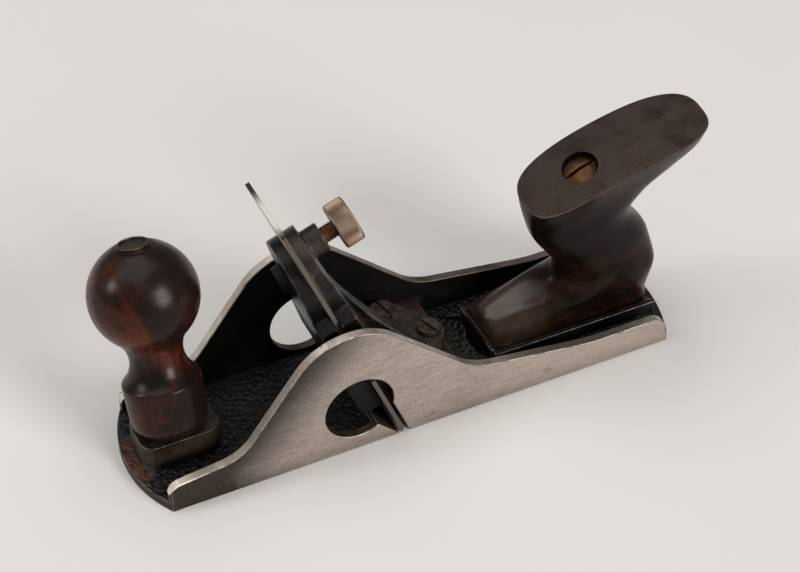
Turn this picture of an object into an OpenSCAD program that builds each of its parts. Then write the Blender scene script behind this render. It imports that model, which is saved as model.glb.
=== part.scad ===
// Cabinet scraper plane with rebate mouths.
// An iron body carries an upright scraper blade in a clamp, a tilting front knob and a tilting rear handle.
// The origin lies on the sole at mid-length, +X runs from toe to heel, +Z is up.

/* [Body casting] */
// Width over both cheeks
body_width = 50.8; // [48:0.2:58]
// Distance from the origin to the tip of the toe
toe_reach = 102; // [98:0.5:112]
// Distance from the origin to the end of the heel
heel_reach = 101.3; // [99:0.5:112]
// Plan radius of the toe
toe_radius = 45.7; // [40:0.5:60]
// Plan radius of the heel
heel_radius = 60; // [50:0.5:80]
// Thickness of the floor
floor_thickness = 4; // [3:0.1:5]
// Thickness of each cheek
cheek_thickness = 3.2; // [2.6:0.1:4]

/* [Cheek outline] */
// Distance from the origin to the front end of the cheeks
cheek_front = 95; // [92:0.5:98]
// Distance from the origin to the rear end of the cheeks
cheek_rear = 95; // [92:0.5:98]
// Cheek height at the toe end
toe_shelf_height = 11.3; // [9:0.1:13]
// Place and height of the dip in front of the hump
front_dip = [-68.8, 14.3]; // [-80:0.1:40]
// Round of the front dip
front_dip_radius = 16; // [10:0.5:24]
// Place of the hump's centre along the body
hump_place = -28.3; // [-32:0.1:-24]
// Height of the hump
hump_height = 52.5; // [48:0.1:58]
// Round of the hump
hump_radius = 24; // [20:0.5:28]
// Place and height of the dip behind the hump
rear_dip = [18, 19.2]; // [10:0.1:30]
// Round of the rear dip
rear_dip_radius = 25; // [15:0.5:35]
// Place and height where the heel shelf begins
heel_shelf = [64, 11.9]; // [9:0.1:80]
// Round where the heel shelf begins
heel_shelf_radius = 60; // [30:1:90]
// Round of the cheek's front corner
toe_corner_radius = 5; // [2:0.5:8]
// Round of the cheek's rear corner
heel_corner_radius = 6; // [2:0.5:8]

/* [Mouth] */
// Place of the round side port along the body
port_place = -25.8; // [-28:0.1:-24]
// Height of the port's centre
port_height = 18.6; // [17.5:0.1:21]
// Radius of the side port
port_radius = 12.7; // [12:0.1:13.4]
// Gap at the sole between the blade and the front lip
lip_gap = 0.8; // [0.4:0.1:1.6]
// Slope of the front lip from the sole, in degrees
lip_slope = 45; // [35:1:55]
// Gap between the blade and the wall behind it
bed_gap = 1.2; // [0.8:0.1:2]
// Height of the frog bed above the sole
bed_height = 11; // [9:0.1:12]
// Rear end of the frog bed
bed_rear = 18.5; // [17.5:0.1:24]

/* [Blade] */
// Place of the blade on the sole
blade_place = -9.3; // [-11:0.1:-8]
// Forward lean of the blade from upright, in degrees
blade_lean = 21.2; // [16:0.1:24]
// Thickness of the blade
blade_thickness = 1.6; // [1.2:0.1:2]
// Length of the blade
blade_length = 101; // [94:0.5:112]
// Width of the upper part of the blade
blade_width = 30; // [27:0.2:36]
// Height of the full-width ears at the cutting edge
ear_height = 31.2; // [26:0.1:31.6]
// Gap between the ears and the outside of the cheeks
ear_inset = 0.1; // [0:0.05:0.5]
// Bevel of the cutting edge, in degrees
blade_bevel = 45; // [30:1:60]
// Travel of the blade below the sole as it is fed out
blade_feed = 8; // [4:0.5:10]

/* [Clamp] */
// Gap between the blade and each jaw
blade_gap = 0.05; // [0.02:0.01:0.1]
// Half width of the arched upper jaws
jaw_half_width = 13; // [12:0.1:13]
// Radius of the arch at the top of the jaws
arch_radius = 13.2; // [13.1:0.1:14]
// Height of the arch centre along the blade
arch_height = 70.3; // [68:0.1:74]
// Height of the shoulders along the blade
shoulder_height = 57; // [52:0.5:62]
// Half width at the shoulders
shoulder_half_width = 17.5; // [15.5:0.1:19]
// Drop of the shoulders
shoulder_drop = 3; // [1:0.1:5]
// Half width of the lower clamp bar
bar_half_width = 20.5; // [19.5:0.1:21.4]
// Height of the lower clamp bar along the blade
bar_height = 27; // [22:0.5:34]
// Thickness of the cap at its top
cap_top_thickness = 3.9; // [3.4:0.1:5]
// Thickness of the cap at its bar
cap_bar_thickness = 8.2; // [7:0.1:9.4]
// Lower end of the cap along the blade
cap_low = 13; // [11:0.1:15]
// Chamfer on the front of the cap's lower end
cap_chamfer = 3; // [1:0.1:5]

/* [Frog] */
// Thickness of the frog's jaw at its top
jaw_top_thickness = 4.4; // [4:0.1:6]
// Thickness of the frog's jaw at its foot
jaw_foot_thickness = 7.4; // [6:0.1:9]
// Top of the frog's foot above the sole
foot_top = 18.3; // [16:0.1:20]
// Radius of the ears round the foot screws
foot_ear_radius = 5.8; // [5:0.1:6.5]
// Place of the two front foot screws
foot_screw_front = [1.4, 15.4]; // [0:0.1:16]
// Place of the rear foot screw
foot_screw_rear = 12; // [10:0.1:14]
// Thickness of the central web
web_thickness = 7; // [5:0.1:9]
// Height of the web's upper end along the blade
web_top = 68; // [60:0.5:70]
// Place where the web lands on the foot
web_landing = 5.6; // [3:0.1:6]
// Hollow of the web's sloping edge
web_hollow = 2.2; // [0.5:0.1:4]
// Height of the thumbscrew along the blade
thumb_height = 77.1; // [76:0.1:79]
// Radius of the thumbscrew boss
thumb_boss_radius = 5.2; // [4.6:0.1:5.8]
// Reach of the thumbscrew boss behind the blade's centre
thumb_boss_reach = 11.6; // [10:0.1:14]

/* [Screws] */
// Diameter of the thumbscrew shank
thumb_shank_diameter = 6; // [5:0.1:6.4]
// Bare shank between the boss and the head
thumb_standoff = 4.7; // [4.5:0.1:8]
// Diameter of the thumbscrew head
thumb_head_diameter = 16.1; // [14:0.1:18]
// Thickness of the thumbscrew head
thumb_head_thickness = 7; // [5:0.1:9]
// Number of knurl grooves
knurl_count = 60; // [36:4:80]
// Depth of the knurl grooves
knurl_depth = 0.3; // [0.1:0.05:0.4]
// Depth that the shank enters the thumbscrew head
thumb_shank_grip = 5; // [3:0.1:6]
// Height of the cap screw along the blade
cap_screw_height = 70.5; // [69.5:0.1:71]
// Diameter of the cap screw's shank
cap_screw_diameter = 5; // [4:0.1:5.4]
// Diameter of the cap screw's head
cap_head_diameter = 9.6; // [8.6:0.1:10]
// Height of the cap screw's head
cap_head_height = 3.2; // [2.4:0.1:4]
// Diameter of the foot screws' shanks
foot_screw_diameter = 5; // [4:0.1:5.4]
// Diameter of the foot screws' heads
foot_head_diameter = 8; // [7:0.1:8.8]
// Height of the foot screws' heads
foot_head_height = 2; // [1.6:0.1:2.6]
// Depth that the foot screws enter the bed
foot_screw_grip = 7.5; // [5:0.1:8]
// Width of the screwdriver slots
slot_width = 1.3; // [0.8:0.1:1.6]
// Depth of the screwdriver slots
slot_depth = 1.1; // [0.7:0.05:1.2]

/* [Tilting seats] */
// Swing of the knob to either side of upright, in degrees
knob_swing = 20; // [18:0.5:22]
// Swing of the rear handle to either side of upright, in degrees
tote_swing = 12; // [8:0.5:13]
// Outside radius of the seat forks
fork_radius = 7.2; // [6.6:0.1:7.6]
// Half width of the seat forks below the pivot
fork_half_width = 5; // [4.6:0.1:5.6]
// Thickness of each fork plate
fork_plate = 2.6; // [2:0.1:3]
// Diameter of the pivot nuts
pivot_diameter = 10; // [9:0.1:10.8]
// Room round the forks inside the handles
fork_room = 0.6; // [0.4:0.1:0.9]

/* [Front knob] */
// Tilt of the knob to the left at rest, in degrees
knob_tilt = 18; // [0:0.5:20]
// Place of the knob along the body
knob_place = -85.2; // [-87:0.1:-83]
// Height of the knob's tilt axis
knob_axis_height = 27.2; // [26:0.1:29]
// Radius of the knob's ball seat
knob_seat_radius = 15; // [14.4:0.1:15.6]
// Front end of the knob's seat block
knob_block_front = -97.5; // [-98:0.1:-94]
// Rear end of the knob's seat block
knob_block_rear = -69.4; // [-74:0.1:-68]
// Half width of the knob's seat block
knob_block_half_width = 9.4; // [8.4:0.1:10]
// Corner radius of the knob's seat block
knob_block_corner = 5; // [1:0.1:6]
// Height of the seat block's rails
knob_rail_height = 14.8; // [13.6:0.1:15.4]
// Radius of the knob at its foot
knob_foot_radius = 13; // [12.6:0.1:13.4]
// Radius of the knob at its shoulder
knob_shoulder_radius = 13.5; // [13.2:0.1:14.3]
// Height of the knob's shoulder
knob_shoulder_height = 32.6; // [30:0.1:33]
// Radius of the knob's neck
knob_neck_radius = 9.2; // [8.5:0.1:10]
// Height of the knob's neck
knob_neck_height = 43.9; // [43:0.1:46]
// Radius of the knob's ball
knob_ball_radius = 18.6; // [17:0.1:19.5]
// Height of the ball's centre
knob_ball_height = 65.7; // [65:0.1:69]
// Height of the flat on top of the ball
knob_flat_height = 82.9; // [80:0.1:83]
// Diameter of the knob's rod
knob_rod_diameter = 5; // [4:0.1:5.6]
// Radius of the knob's washer
knob_washer_radius = 6.2; // [5.4:0.1:6.6]
// Thickness of the knob's washer
knob_washer_thickness = 0.5; // [0.4:0.1:1.2]
// Radius of the knob's nut
knob_nut_radius = 5.3; // [4.7:0.1:5.6]
// Height of the knob's nut above its washer
knob_nut_height = 0.9; // [0.8:0.1:1.8]
// Width of the raised rim on the knob's nut
knob_nut_rim = 0.8; // [0.5:0.1:1.2]
// Depth of the dish in the knob's nut
knob_nut_dish = 0.4; // [0.2:0.05:0.6]
// Length of the nut's barrel inside the knob
knob_barrel_length = 14; // [8:0.5:24]
// Radius of the nut's barrel inside the knob
knob_barrel_radius = 4; // [3.5:0.1:4.4]

/* [Rear handle] */
// Tilt of the handle to the right at rest, in degrees
tote_tilt = 8; // [0:0.5:12]
// Height of the handle's tilt axis
tote_axis_height = 24.8; // [24.6:0.1:26]
// Radius of the handle's rounded seat
tote_seat_radius = 20; // [19.6:0.1:20.2]
// Front end of the handle's foot
tote_front = 33; // [30:0.1:36]
// Rear end of the handle's trough
trough_rear = 97; // [90:0.5:98]
// Half width of the handle's trough
trough_half_width = 14; // [13.6:0.1:15]
// Height of the trough's rails
trough_rail_height = 9.1; // [8:0.1:9.3]
// Height of the trough's front wall
nose_height = 10.2; // [8:0.1:11]
// Length of the trough's sloping nose
nose_length = 3.6; // [2.5:0.1:6]
// Thickness of the nose at its top
nose_wall = 1.4; // [0.8:0.1:2]
// Plan radius of the nose
nose_radius = 14; // [12.5:0.1:16]
// Half width of the handle's foot
foot_half_width = 12.4; // [11.8:0.1:12.6]
// Height of the foot's front tip
tote_tip_height = 14; // [13:0.1:15]
// Place and height of the foot's upper line
foot_line = [43, 18.6]; // [17:0.1:46]
// Place and height where the foot's upper line turns up
foot_turn = [54.5, 21.2]; // [20:0.1:58]
// Place and height of the throat below the grip's front
throat = [61.8, 28]; // [24:0.1:64]
// Place and height on the front of the grip
grip_front = [49, 52.5]; // [46:0.1:60]
// Place and height of the grip's upper front edge
crown_front = [45, 68]; // [42:0.1:70]
// Rear end of the foot at the seat
heel_low = 100.6; // [98:0.1:101]
// Place and height of the swelling at the rear
heel_swell = [101.7, 19]; // [17:0.1:103]
// Place and height on the rear of the grip
grip_rear = [97, 38.5]; // [36:0.1:99]
// Place and height of the hollow behind the grip
hollow_rear = [87, 56]; // [54:0.1:89]
// Place and height of the horn's root
horn_root = [92, 66.5]; // [64:0.1:95]
// Place and height of the horn's underside
horn_under = [104, 76]; // [71:0.1:110]
// Place and height of the horn's tip
horn_tip = [111.4, 84]; // [76:0.1:114]
// Half width of the grip
grip_half_width = 11; // [10.6:0.1:12]
// Half width of the flat top
crown_half_width = 14.2; // [13:0.1:15]
// Depth over which the grip flares to the flat top
crown_flare = 17; // [12:0.5:24]
// Place and height of the screw on the flat top
crown_screw = [65.3, 78.4]; // [60:0.1:80]
// Slope of the flat top at the screw, in degrees
crown_slope = 22; // [18:0.5:26]
// Lengthwise round of the flat top
crown_radius = 157; // [120:1:240]
// Diameter of the handle's rod
tote_rod_diameter = 6; // [5:0.1:6.4]
// Lean of the handle's rod from upright, in degrees
tote_rod_lean = 16; // [12:0.5:18]
// Diameter of the nut's head in the handle
tote_nut_diameter = 12; // [11:0.1:12.6]
// Height of the nut's head at its rim
tote_nut_rim = 1.8; // [1.4:0.1:2.4]
// Rise of the nut's domed head
tote_nut_dome = 1.4; // [0.8:0.1:2]
// Depth of the nut's seat below the flat top
tote_nut_sink = 3.8; // [3:0.1:5]
// Length of the nut's barrel inside the handle
tote_barrel_length = 16; // [10:0.5:24]
// Radius of the nut's barrel inside the handle
tote_barrel_radius = 4.4; // [4:0.1:5]

/* [Fits] */
// Radial clearance of a screw in its thread and of a running fit
run_fit = 0.05; // [0.02:0.01:0.09]
// Radial clearance of a screw or rod in a drilled hole
hole_room = 0.3; // [0.2:0.05:0.5]
// End clearance between the handle's foot and the trough's front wall
foot_room = 0.4; // [0.3:0.05:0.8]

/* [Hidden] */
$fn = 64;
// Overlap that makes cuts and joins clean
eps = 0.5;
// Small bite that lets a round cross an edge instead of only touching it
bite = 0.002;
// Length that reaches past everything
far = 300;
iron_black = "#2b2a2a";
iron_bright = "#9a948d";
rosewood = "#5a2a1c";
rust = "#6b4630";
brass = "#a5793f";
nickel = "#a99c88";
inner_half_width = body_width / 2 - cheek_thickness;
hump_centre = [hump_place, hump_height - hump_radius];
blade_half = blade_thickness / 2;
jaw_face = blade_half + blade_gap;
jaw_top = arch_height + arch_radius;
bed_face = blade_half + bed_gap;
lip_place = blade_place - blade_half / cos(blade_lean) - lip_gap;
bed_place = blade_place + bed_face / cos(blade_lean);
edge_rise = blade_half * tan(blade_lean);
blade_slot_half_width = cap_screw_diameter / 2 + 2 * hole_room;
blade_slot_low = cap_screw_height - cap_screw_diameter / 2 - 2 * hole_room;
blade_slot_high = cap_screw_height + cap_screw_diameter / 2 + blade_feed + 2 * hole_room;
cap_face_taper = (cap_bar_thickness - cap_top_thickness) / (jaw_top - bar_height);
cap_seat = jaw_face + cap_top_thickness + cap_face_taper * (jaw_top - cap_screw_height) - eps / 2;
frog_places = [[foot_screw_front[0], -foot_screw_front[1]], foot_screw_front, [foot_screw_rear, 0]];
knob_gap = knob_rod_diameter / 2 + fork_room;
knob_pivot_half = knob_gap + fork_plate;
tote_gap = tote_rod_diameter / 2 / cos(tote_rod_lean) + fork_radius * tan(tote_rod_lean) + fork_room;
tote_pivot_half = tote_gap + fork_plate;
knob_neck_span = knob_ball_height - knob_neck_height;
knob_neck_round = (pow(knob_neck_radius, 2) + pow(knob_neck_span, 2) - pow(knob_ball_radius, 2))
  / (2 * (knob_ball_radius - knob_neck_radius));
knob_neck_centre = [knob_neck_radius + knob_neck_round, knob_neck_height];
knob_ball_centre = [0, knob_ball_height];
knob_neck_end = knob_ball_centre + unit(knob_neck_centre - knob_ball_centre) * knob_ball_radius;
knob_neck_start = knob_neck_height
  - sqrt(pow(knob_neck_round, 2) - pow(knob_neck_centre[0] - knob_shoulder_radius, 2));
knob_rod_top = knob_flat_height + knob_washer_thickness;
crown_centre = crown_screw + crown_radius * [sin(crown_slope), -cos(crown_slope)];
rod_axis = [sin(tote_rod_lean), -cos(tote_rod_lean)];
tote_rod_length = (crown_screw[1] - tote_axis_height) / cos(tote_rod_lean);
tote_pivot_place = crown_screw[0] + tote_rod_length * sin(tote_rod_lean);
// Control points of the handle's front and rear outlines, rising from the seat
front_line = [[tote_front, 0], [tote_front, tote_tip_height - 5], [tote_front + 0.6, tote_tip_height],
  foot_line, foot_turn, throat, grip_front, crown_front, crown_front + [-0.6, 12], crown_front + [-0.6, 40]];
rear_line = [[heel_low, 0], [heel_low, 5], heel_swell, grip_rear, hollow_rear, horn_root, horn_under,
  horn_tip, horn_tip + [0, 30]];
// Steps of the handle's loft between control heights and round each section
level_steps = 3;
section_steps = 36;
levels = merged_levels(concat([for (p = front_line) p[1]], [for (p = rear_line) p[1]]));

function unit(v) = v / norm(v);

// Tangent point on a circle from a point outside it, on the side given by 1 or -1
function tangent_point(p, c, r, side) =
  let (v = p - c, a = atan2(v[1], v[0]) + side * acos(r / norm(v)))
  c + r * [cos(a), sin(a)];

// Sorted values of a list
function sorted(list) = len(list) < 2 ? list :
  let (pivot = list[floor(len(list) / 2)])
  concat(sorted([for (v = list) if (v < pivot) v]), [for (v = list) if (v == pivot) v],
    sorted([for (v = list) if (v > pivot) v]));

// Control heights with near repeats left out, each step divided evenly
function merged_levels(heights) =
  let (s = sorted(heights), kept = [for (i = [0 : len(s) - 1]) if (i == 0 || s[i] - s[i - 1] > 0.8) s[i]])
  concat([for (i = [0 : len(kept) - 2]) for (k = [0 : level_steps - 1])
    kept[i] + (kept[i + 1] - kept[i]) * k / level_steps], [kept[len(kept) - 1]]);

// Slope of the outline between control points i and i + 1
function rise_slope(line, i) = (line[i + 1][0] - line[i][0]) / (line[i + 1][1] - line[i][1]);

// Slope of the smooth outline at control point i, flat where the outline turns
function knot_slope(line, i) = i == 0 || i == len(line) - 1 ? 0 :
  let (a = rise_slope(line, i - 1), b = rise_slope(line, i))
  a * b <= 0 ? 0 : 2 * a * b / (a + b);

// Place of a smooth outline at a height
function outline_at(line, z, i = 0) =
  i < len(line) - 2 && z > line[i + 1][1] ? outline_at(line, z, i + 1) :
  let (h = line[i + 1][1] - line[i][1], t = (z - line[i][1]) / h)
  (1 + 2 * t) * pow(1 - t, 2) * line[i][0] + t * pow(1 - t, 2) * h * knot_slope(line, i)
  + t * t * (3 - 2 * t) * line[i + 1][0] + t * t * (t - 1) * h * knot_slope(line, i + 1);

function smooth_step(t) = let (c = min(max(t, 0), 1)) c * c * (3 - 2 * c);

// Height of the flat top at a place along the handle
function crown_at(x) = crown_centre[1] + sqrt(pow(crown_radius, 2) - pow(x - crown_centre[0], 2));

// Half width of the handle at a place and height
function handle_half_width(x, z) =
  let (flare = 1 - min(max((crown_at(x) - z) / crown_flare, 0), 1),
    low = foot_half_width + (grip_half_width - foot_half_width) * smooth_step((z - foot_line[1]) / 20))
  low + (crown_half_width - low) * pow(flare, 1.6);

// Roundness of a section's front half, from the blunt foot over its round back to the grip and the flat top
function front_power(z) =
  6 + (2.1 - 6) * smooth_step((z - tote_tip_height + 6) / 8)
  + (2.4 - 2.1) * smooth_step((z - throat[1]) / 10) + 0.6 * smooth_step((z - hollow_rear[1]) / 14);

// Roundness of a section's rear half
function rear_power(z) =
  3.2 - 0.8 * smooth_step((z - heel_swell[1]) / 20) + 0.6 * smooth_step((z - hollow_rear[1]) / 14);

// One level section of the handle
function handle_section(z) =
  let (front = outline_at(front_line, z), rear = outline_at(rear_line, z),
    middle = front + (rear - front) * (0.62 - 0.12 * smooth_step((z - foot_line[1]) / 16)))
  [for (k = [0 : section_steps - 1])
    let (a = 360 * k / section_steps, ahead = cos(a) < 0,
      power = ahead ? front_power(z) : rear_power(z),
      reach = ahead ? middle - front : rear - middle,
      x = middle + sign(cos(a)) * reach * pow(abs(cos(a)), 2 / power),
      y = sign(sin(a)) * handle_half_width(x, z) * pow(abs(sin(a)), 2 / power))
    [x, y, z]];

module fillet_patch(p, q1, q2, r) {
  u1 = unit(q1 - p);
  u2 = unit(q2 - p);
  half = acos(u1 * u2) / 2;
  c = p + unit(u1 + u2) * r / sin(half);
  difference() {
    polygon([p - unit(u1 + u2) * eps, p + u1 * r / tan(half), c, p + u2 * r / tan(half)]);
    translate(c) circle(r + bite);
  }
}

// A shape drawn in the X and Z plane, made solid between two Y places
module side_solid(y0, y1) {
  translate([0, y1, 0]) rotate([90, 0, 0]) linear_extrude(y1 - y0) children();
}

// A shape drawn in the Y and Z plane, made solid between two X places
module cross_solid(x0, x1) {
  translate([x0, 0, 0]) rotate([90, 0, 90]) linear_extrude(x1 - x0) children();
}

// A round bar along X between two places
module bar_x(x0, x1, r) {
  translate([x0, 0, 0]) rotate([0, 90, 0]) cylinder(h = x1 - x0, r = r);
}

// Places children in the blade's frame: X square to the blade, Z up along it
module in_blade_frame() {
  translate([blade_place, 0, 0]) rotate([0, -blade_lean, 0]) children();
}

module in_knob_frame() {
  translate([knob_place, 0, knob_axis_height]) rotate([-knob_tilt, 0, 0])
    translate([0, 0, -knob_axis_height]) children();
}

module in_handle_frame() {
  translate([0, 0, tote_axis_height]) rotate([tote_tilt, 0, 0])
    translate([0, 0, -tote_axis_height]) children();
}

// Places children on the handle's rod axis, Z up along it from the flat top's screw
module on_handle_rod() {
  translate([crown_screw[0], 0, crown_screw[1]]) rotate([0, -tote_rod_lean, 0]) children();
}

module plan_outline() {
  intersection() {
    translate([-far / 2, -body_width / 2]) square([far, body_width]);
    union() {
      translate([toe_radius - toe_reach, 0]) circle(toe_radius);
      translate([toe_radius - toe_reach, -body_width]) square([far, 2 * body_width]);
    }
    union() {
      translate([heel_reach - heel_radius, 0]) circle(heel_radius);
      translate([heel_reach - heel_radius - far, -body_width]) square([far, 2 * body_width]);
    }
  }
}

module cheek_outline() {
  toe_top = [-cheek_front, toe_shelf_height];
  heel_top = [cheek_rear, heel_shelf[1]];
  front_tangent = tangent_point(front_dip, hump_centre, hump_radius - bite, -1);
  rear_tangent = tangent_point(rear_dip, hump_centre, hump_radius - bite, 1);
  difference() {
    union() {
      polygon([[-cheek_front, 0], toe_top, front_dip, front_tangent, rear_tangent, rear_dip, heel_shelf,
        heel_top, [cheek_rear, 0]]);
      translate(hump_centre) circle(hump_radius);
      fillet_patch(front_dip, toe_top, front_tangent, front_dip_radius);
      fillet_patch(rear_dip, rear_tangent, heel_shelf, rear_dip_radius);
      fillet_patch(heel_shelf, rear_dip, heel_top, heel_shelf_radius);
    }
    fillet_patch(toe_top, front_dip, [-cheek_front, 0], toe_corner_radius);
    fillet_patch(heel_top, heel_shelf, [cheek_rear, 0], heel_corner_radius);
  }
}

// Side port and the mouth below it, drawn in the X and Z plane
module mouth_outline() {
  rise = port_height / 2;
  wall_height = port_height * 0.9;
  union() {
    translate([port_place, port_height]) circle(port_radius);
    polygon([[lip_place + eps / tan(lip_slope), -eps], [bed_place + eps * tan(blade_lean), -eps],
      [bed_place - wall_height * tan(blade_lean), wall_height], [port_place, port_height],
      [lip_place - rise / tan(lip_slope), rise]]);
  }
}

module rounded_block(x0, x1, half_width, corner) {
  union() {
    translate([x0 + corner, -half_width]) square([x1 - x0 - 2 * corner, 2 * half_width]);
    translate([x0, corner - half_width]) square([x1 - x0, 2 * (half_width - corner)]);
    for (x = [x0 + corner, x1 - corner], y = [corner - half_width, half_width - corner])
      translate([x, y]) circle(corner);
  }
}

// Two upright plates with a pivot hole, standing on the floor
module seat_fork(place, axis_height, gap) {
  for (x = [place - gap - fork_plate, place + gap])
    difference() {
      cross_solid(x, x + fork_plate) union() {
        translate([0, axis_height]) circle(fork_radius);
        translate([-fork_half_width, floor_thickness - eps])
          square([2 * fork_half_width, axis_height - floor_thickness + eps]);
      }
      translate([0, 0, axis_height]) bar_x(x - eps, x + fork_plate + eps, pivot_diameter / 2 + run_fit);
    }
}

module knob_seat() {
  difference() {
    linear_extrude(knob_rail_height)
      rounded_block(knob_block_front, knob_block_rear, knob_block_half_width, knob_block_corner);
    translate([knob_place, 0, knob_axis_height]) sphere(knob_seat_radius + run_fit);
  }
  seat_fork(knob_place, knob_axis_height, knob_gap);
}

module handle_seat() {
  inner = tote_front - foot_room;
  nose_front = inner - nose_length;
  difference() {
    union() {
      translate([inner - eps, -trough_half_width, floor_thickness - eps])
        cube([trough_rear - inner + eps, 2 * trough_half_width, trough_rail_height - floor_thickness + eps]);
      intersection() {
        side_solid(-foot_half_width, foot_half_width)
          polygon([[nose_front, 0], [nose_front, floor_thickness], [inner - nose_wall, nose_height],
            [inner, nose_height], [inner, 0]]);
        union() {
          translate([nose_front + nose_radius, 0, 0]) cylinder(h = nose_height + eps, r = nose_radius);
          translate([inner - nose_wall, -foot_half_width, 0])
            cube([nose_wall, 2 * foot_half_width, nose_height]);
        }
      }
    }
    translate([0, 0, tote_axis_height]) bar_x(inner, far, tote_seat_radius + run_fit);
  }
  seat_fork(tote_pivot_place, tote_axis_height, tote_gap);
}

module body_casting() {
  color(iron_black) difference() {
    union() {
      linear_extrude(floor_thickness) plan_outline();
      intersection() {
        union() {
          side_solid(-body_width / 2, -inner_half_width) cheek_outline();
          side_solid(inner_half_width, body_width / 2) cheek_outline();
        }
        linear_extrude(hump_height + eps) plan_outline();
      }
      translate([blade_place - bed_height, -inner_half_width - eps, floor_thickness - eps])
        cube([bed_rear - blade_place + bed_height, 2 * (inner_half_width + eps),
          bed_height - floor_thickness + eps]);
      knob_seat();
      handle_seat();
    }
    side_solid(-body_width, body_width) mouth_outline();
    for (p = frog_places)
      translate([p[0], p[1], bed_height - foot_screw_grip - eps])
        cylinder(h = foot_screw_grip + 2 * eps, r = foot_screw_diameter / 2 + run_fit);
  }
}

module scraper_blade() {
  ear_half = body_width / 2 - ear_inset;
  color(iron_bright) in_blade_frame() difference() {
    cross_solid(-blade_half, blade_half) difference() {
      union() {
        translate([-ear_half, -edge_rise - blade_thickness])
          square([2 * ear_half, ear_height + edge_rise + blade_thickness]);
        translate([-blade_width / 2, 0]) square([blade_width, blade_length]);
      }
      translate([-blade_slot_half_width, blade_slot_low + blade_slot_half_width])
        square([2 * blade_slot_half_width, blade_slot_high - blade_slot_low - 2 * blade_slot_half_width]);
      for (u = [blade_slot_low + blade_slot_half_width, blade_slot_high - blade_slot_half_width])
        translate([0, u]) circle(blade_slot_half_width);
    }
    side_solid(-body_width, body_width)
      polygon([[-blade_half - eps, edge_rise - eps * tan(blade_bevel)],
        [blade_half + eps, edge_rise + (blade_thickness + eps) * tan(blade_bevel)],
        [blade_half + eps, -far], [-blade_half - eps, -far]]);
  }
}

// Front view shared by both jaws of the clamp, Y across and Z up along the blade
module jaw_outline(low) {
  difference() {
    polygon([[-bar_half_width, low], [-bar_half_width, bar_height],
      [-shoulder_half_width, shoulder_height - shoulder_drop], [-jaw_half_width, shoulder_height],
      [-jaw_half_width, jaw_top], [jaw_half_width, jaw_top], [jaw_half_width, shoulder_height],
      [shoulder_half_width, shoulder_height - shoulder_drop], [bar_half_width, bar_height],
      [bar_half_width, low]]);
    difference() {
      translate([-arch_radius - eps, arch_height]) square(2 * (arch_radius + eps));
      translate([0, arch_height]) circle(arch_radius);
    }
  }
}

module blade_cap() {
  front_top = -jaw_face - cap_top_thickness;
  front_bar = -jaw_face - cap_bar_thickness;
  color(iron_black) in_blade_frame() difference() {
    intersection() {
      cross_solid(front_bar - eps, -jaw_face) jaw_outline(cap_low);
      side_solid(-body_width, body_width)
        polygon([[-jaw_face, cap_low - eps], [-jaw_face, jaw_top + eps],
          [front_top + cap_face_taper * eps, jaw_top + eps], [front_bar, bar_height],
          [front_bar, cap_low + cap_chamfer], [front_bar + cap_chamfer + eps, cap_low - eps]]);
    }
    translate([0, 0, cap_screw_height]) {
      bar_x(-far, far, cap_screw_diameter / 2 + hole_room);
      bar_x(-far, -cap_seat, cap_head_diameter / 2 + hole_room);
    }
  }
}

// A screw along Z with its head above the origin and a slot across it
module slotted_screw(shank_diameter, shank_length, head_diameter, head_height, slot_angle) {
  difference() {
    union() {
      cylinder(h = head_height, d = head_diameter);
      translate([0, 0, -shank_length]) cylinder(h = shank_length + eps, d = shank_diameter);
    }
    rotate([0, 0, slot_angle]) translate([-head_diameter, -slot_width / 2, head_height - slot_depth])
      cube([2 * head_diameter, slot_width, slot_depth + eps]);
  }
}

module cap_screw() {
  color(rust) in_blade_frame() translate([-cap_seat, 0, cap_screw_height]) rotate([0, -90, 0])
    slotted_screw(cap_screw_diameter, cap_seat + jaw_face + jaw_top_thickness - eps, cap_head_diameter,
      cap_head_height, 90);
}

// Straight bar with round ends, seen from above
module ear_link(a, b, r) {
  side = unit([a[1] - b[1], b[0] - a[0]]) * r;
  union() {
    translate(a) circle(r);
    translate(b) circle(r);
    polygon([a + side, b + side, b - side, a - side]);
  }
}

module foot_outline() {
  rear = [foot_screw_rear, 0];
  union() {
    translate([blade_place - foot_top, -bar_half_width])
      square([foot_screw_front[0] - blade_place + foot_top, 2 * bar_half_width]);
    ear_link(frog_places[0], rear, foot_ear_radius);
    ear_link(frog_places[1], rear, foot_ear_radius);
    polygon(frog_places);
  }
}

module web_outline() {
  upper = [blade_place, 0] + jaw_point(jaw_face + jaw_top_thickness, web_top);
  lower = [web_landing, foot_top];
  chord = lower - upper;
  span = norm(chord);
  r = span * span / (8 * web_hollow) + web_hollow / 2;
  out = unit([-chord[1], chord[0]]);
  difference() {
    polygon([upper, lower, [web_landing, bed_height + eps], [blade_place, bed_height + eps],
      [blade_place, 0] + jaw_point(jaw_face + eps, web_top)]);
    translate((upper + lower) / 2 + out * (r - web_hollow)) circle(r, $fn = 180);
  }
}

// Place in the X and Z plane of a point given square to the blade and up along it
function jaw_point(d, u) =
  [d * cos(blade_lean) - u * sin(blade_lean), d * sin(blade_lean) + u * cos(blade_lean)];

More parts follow.
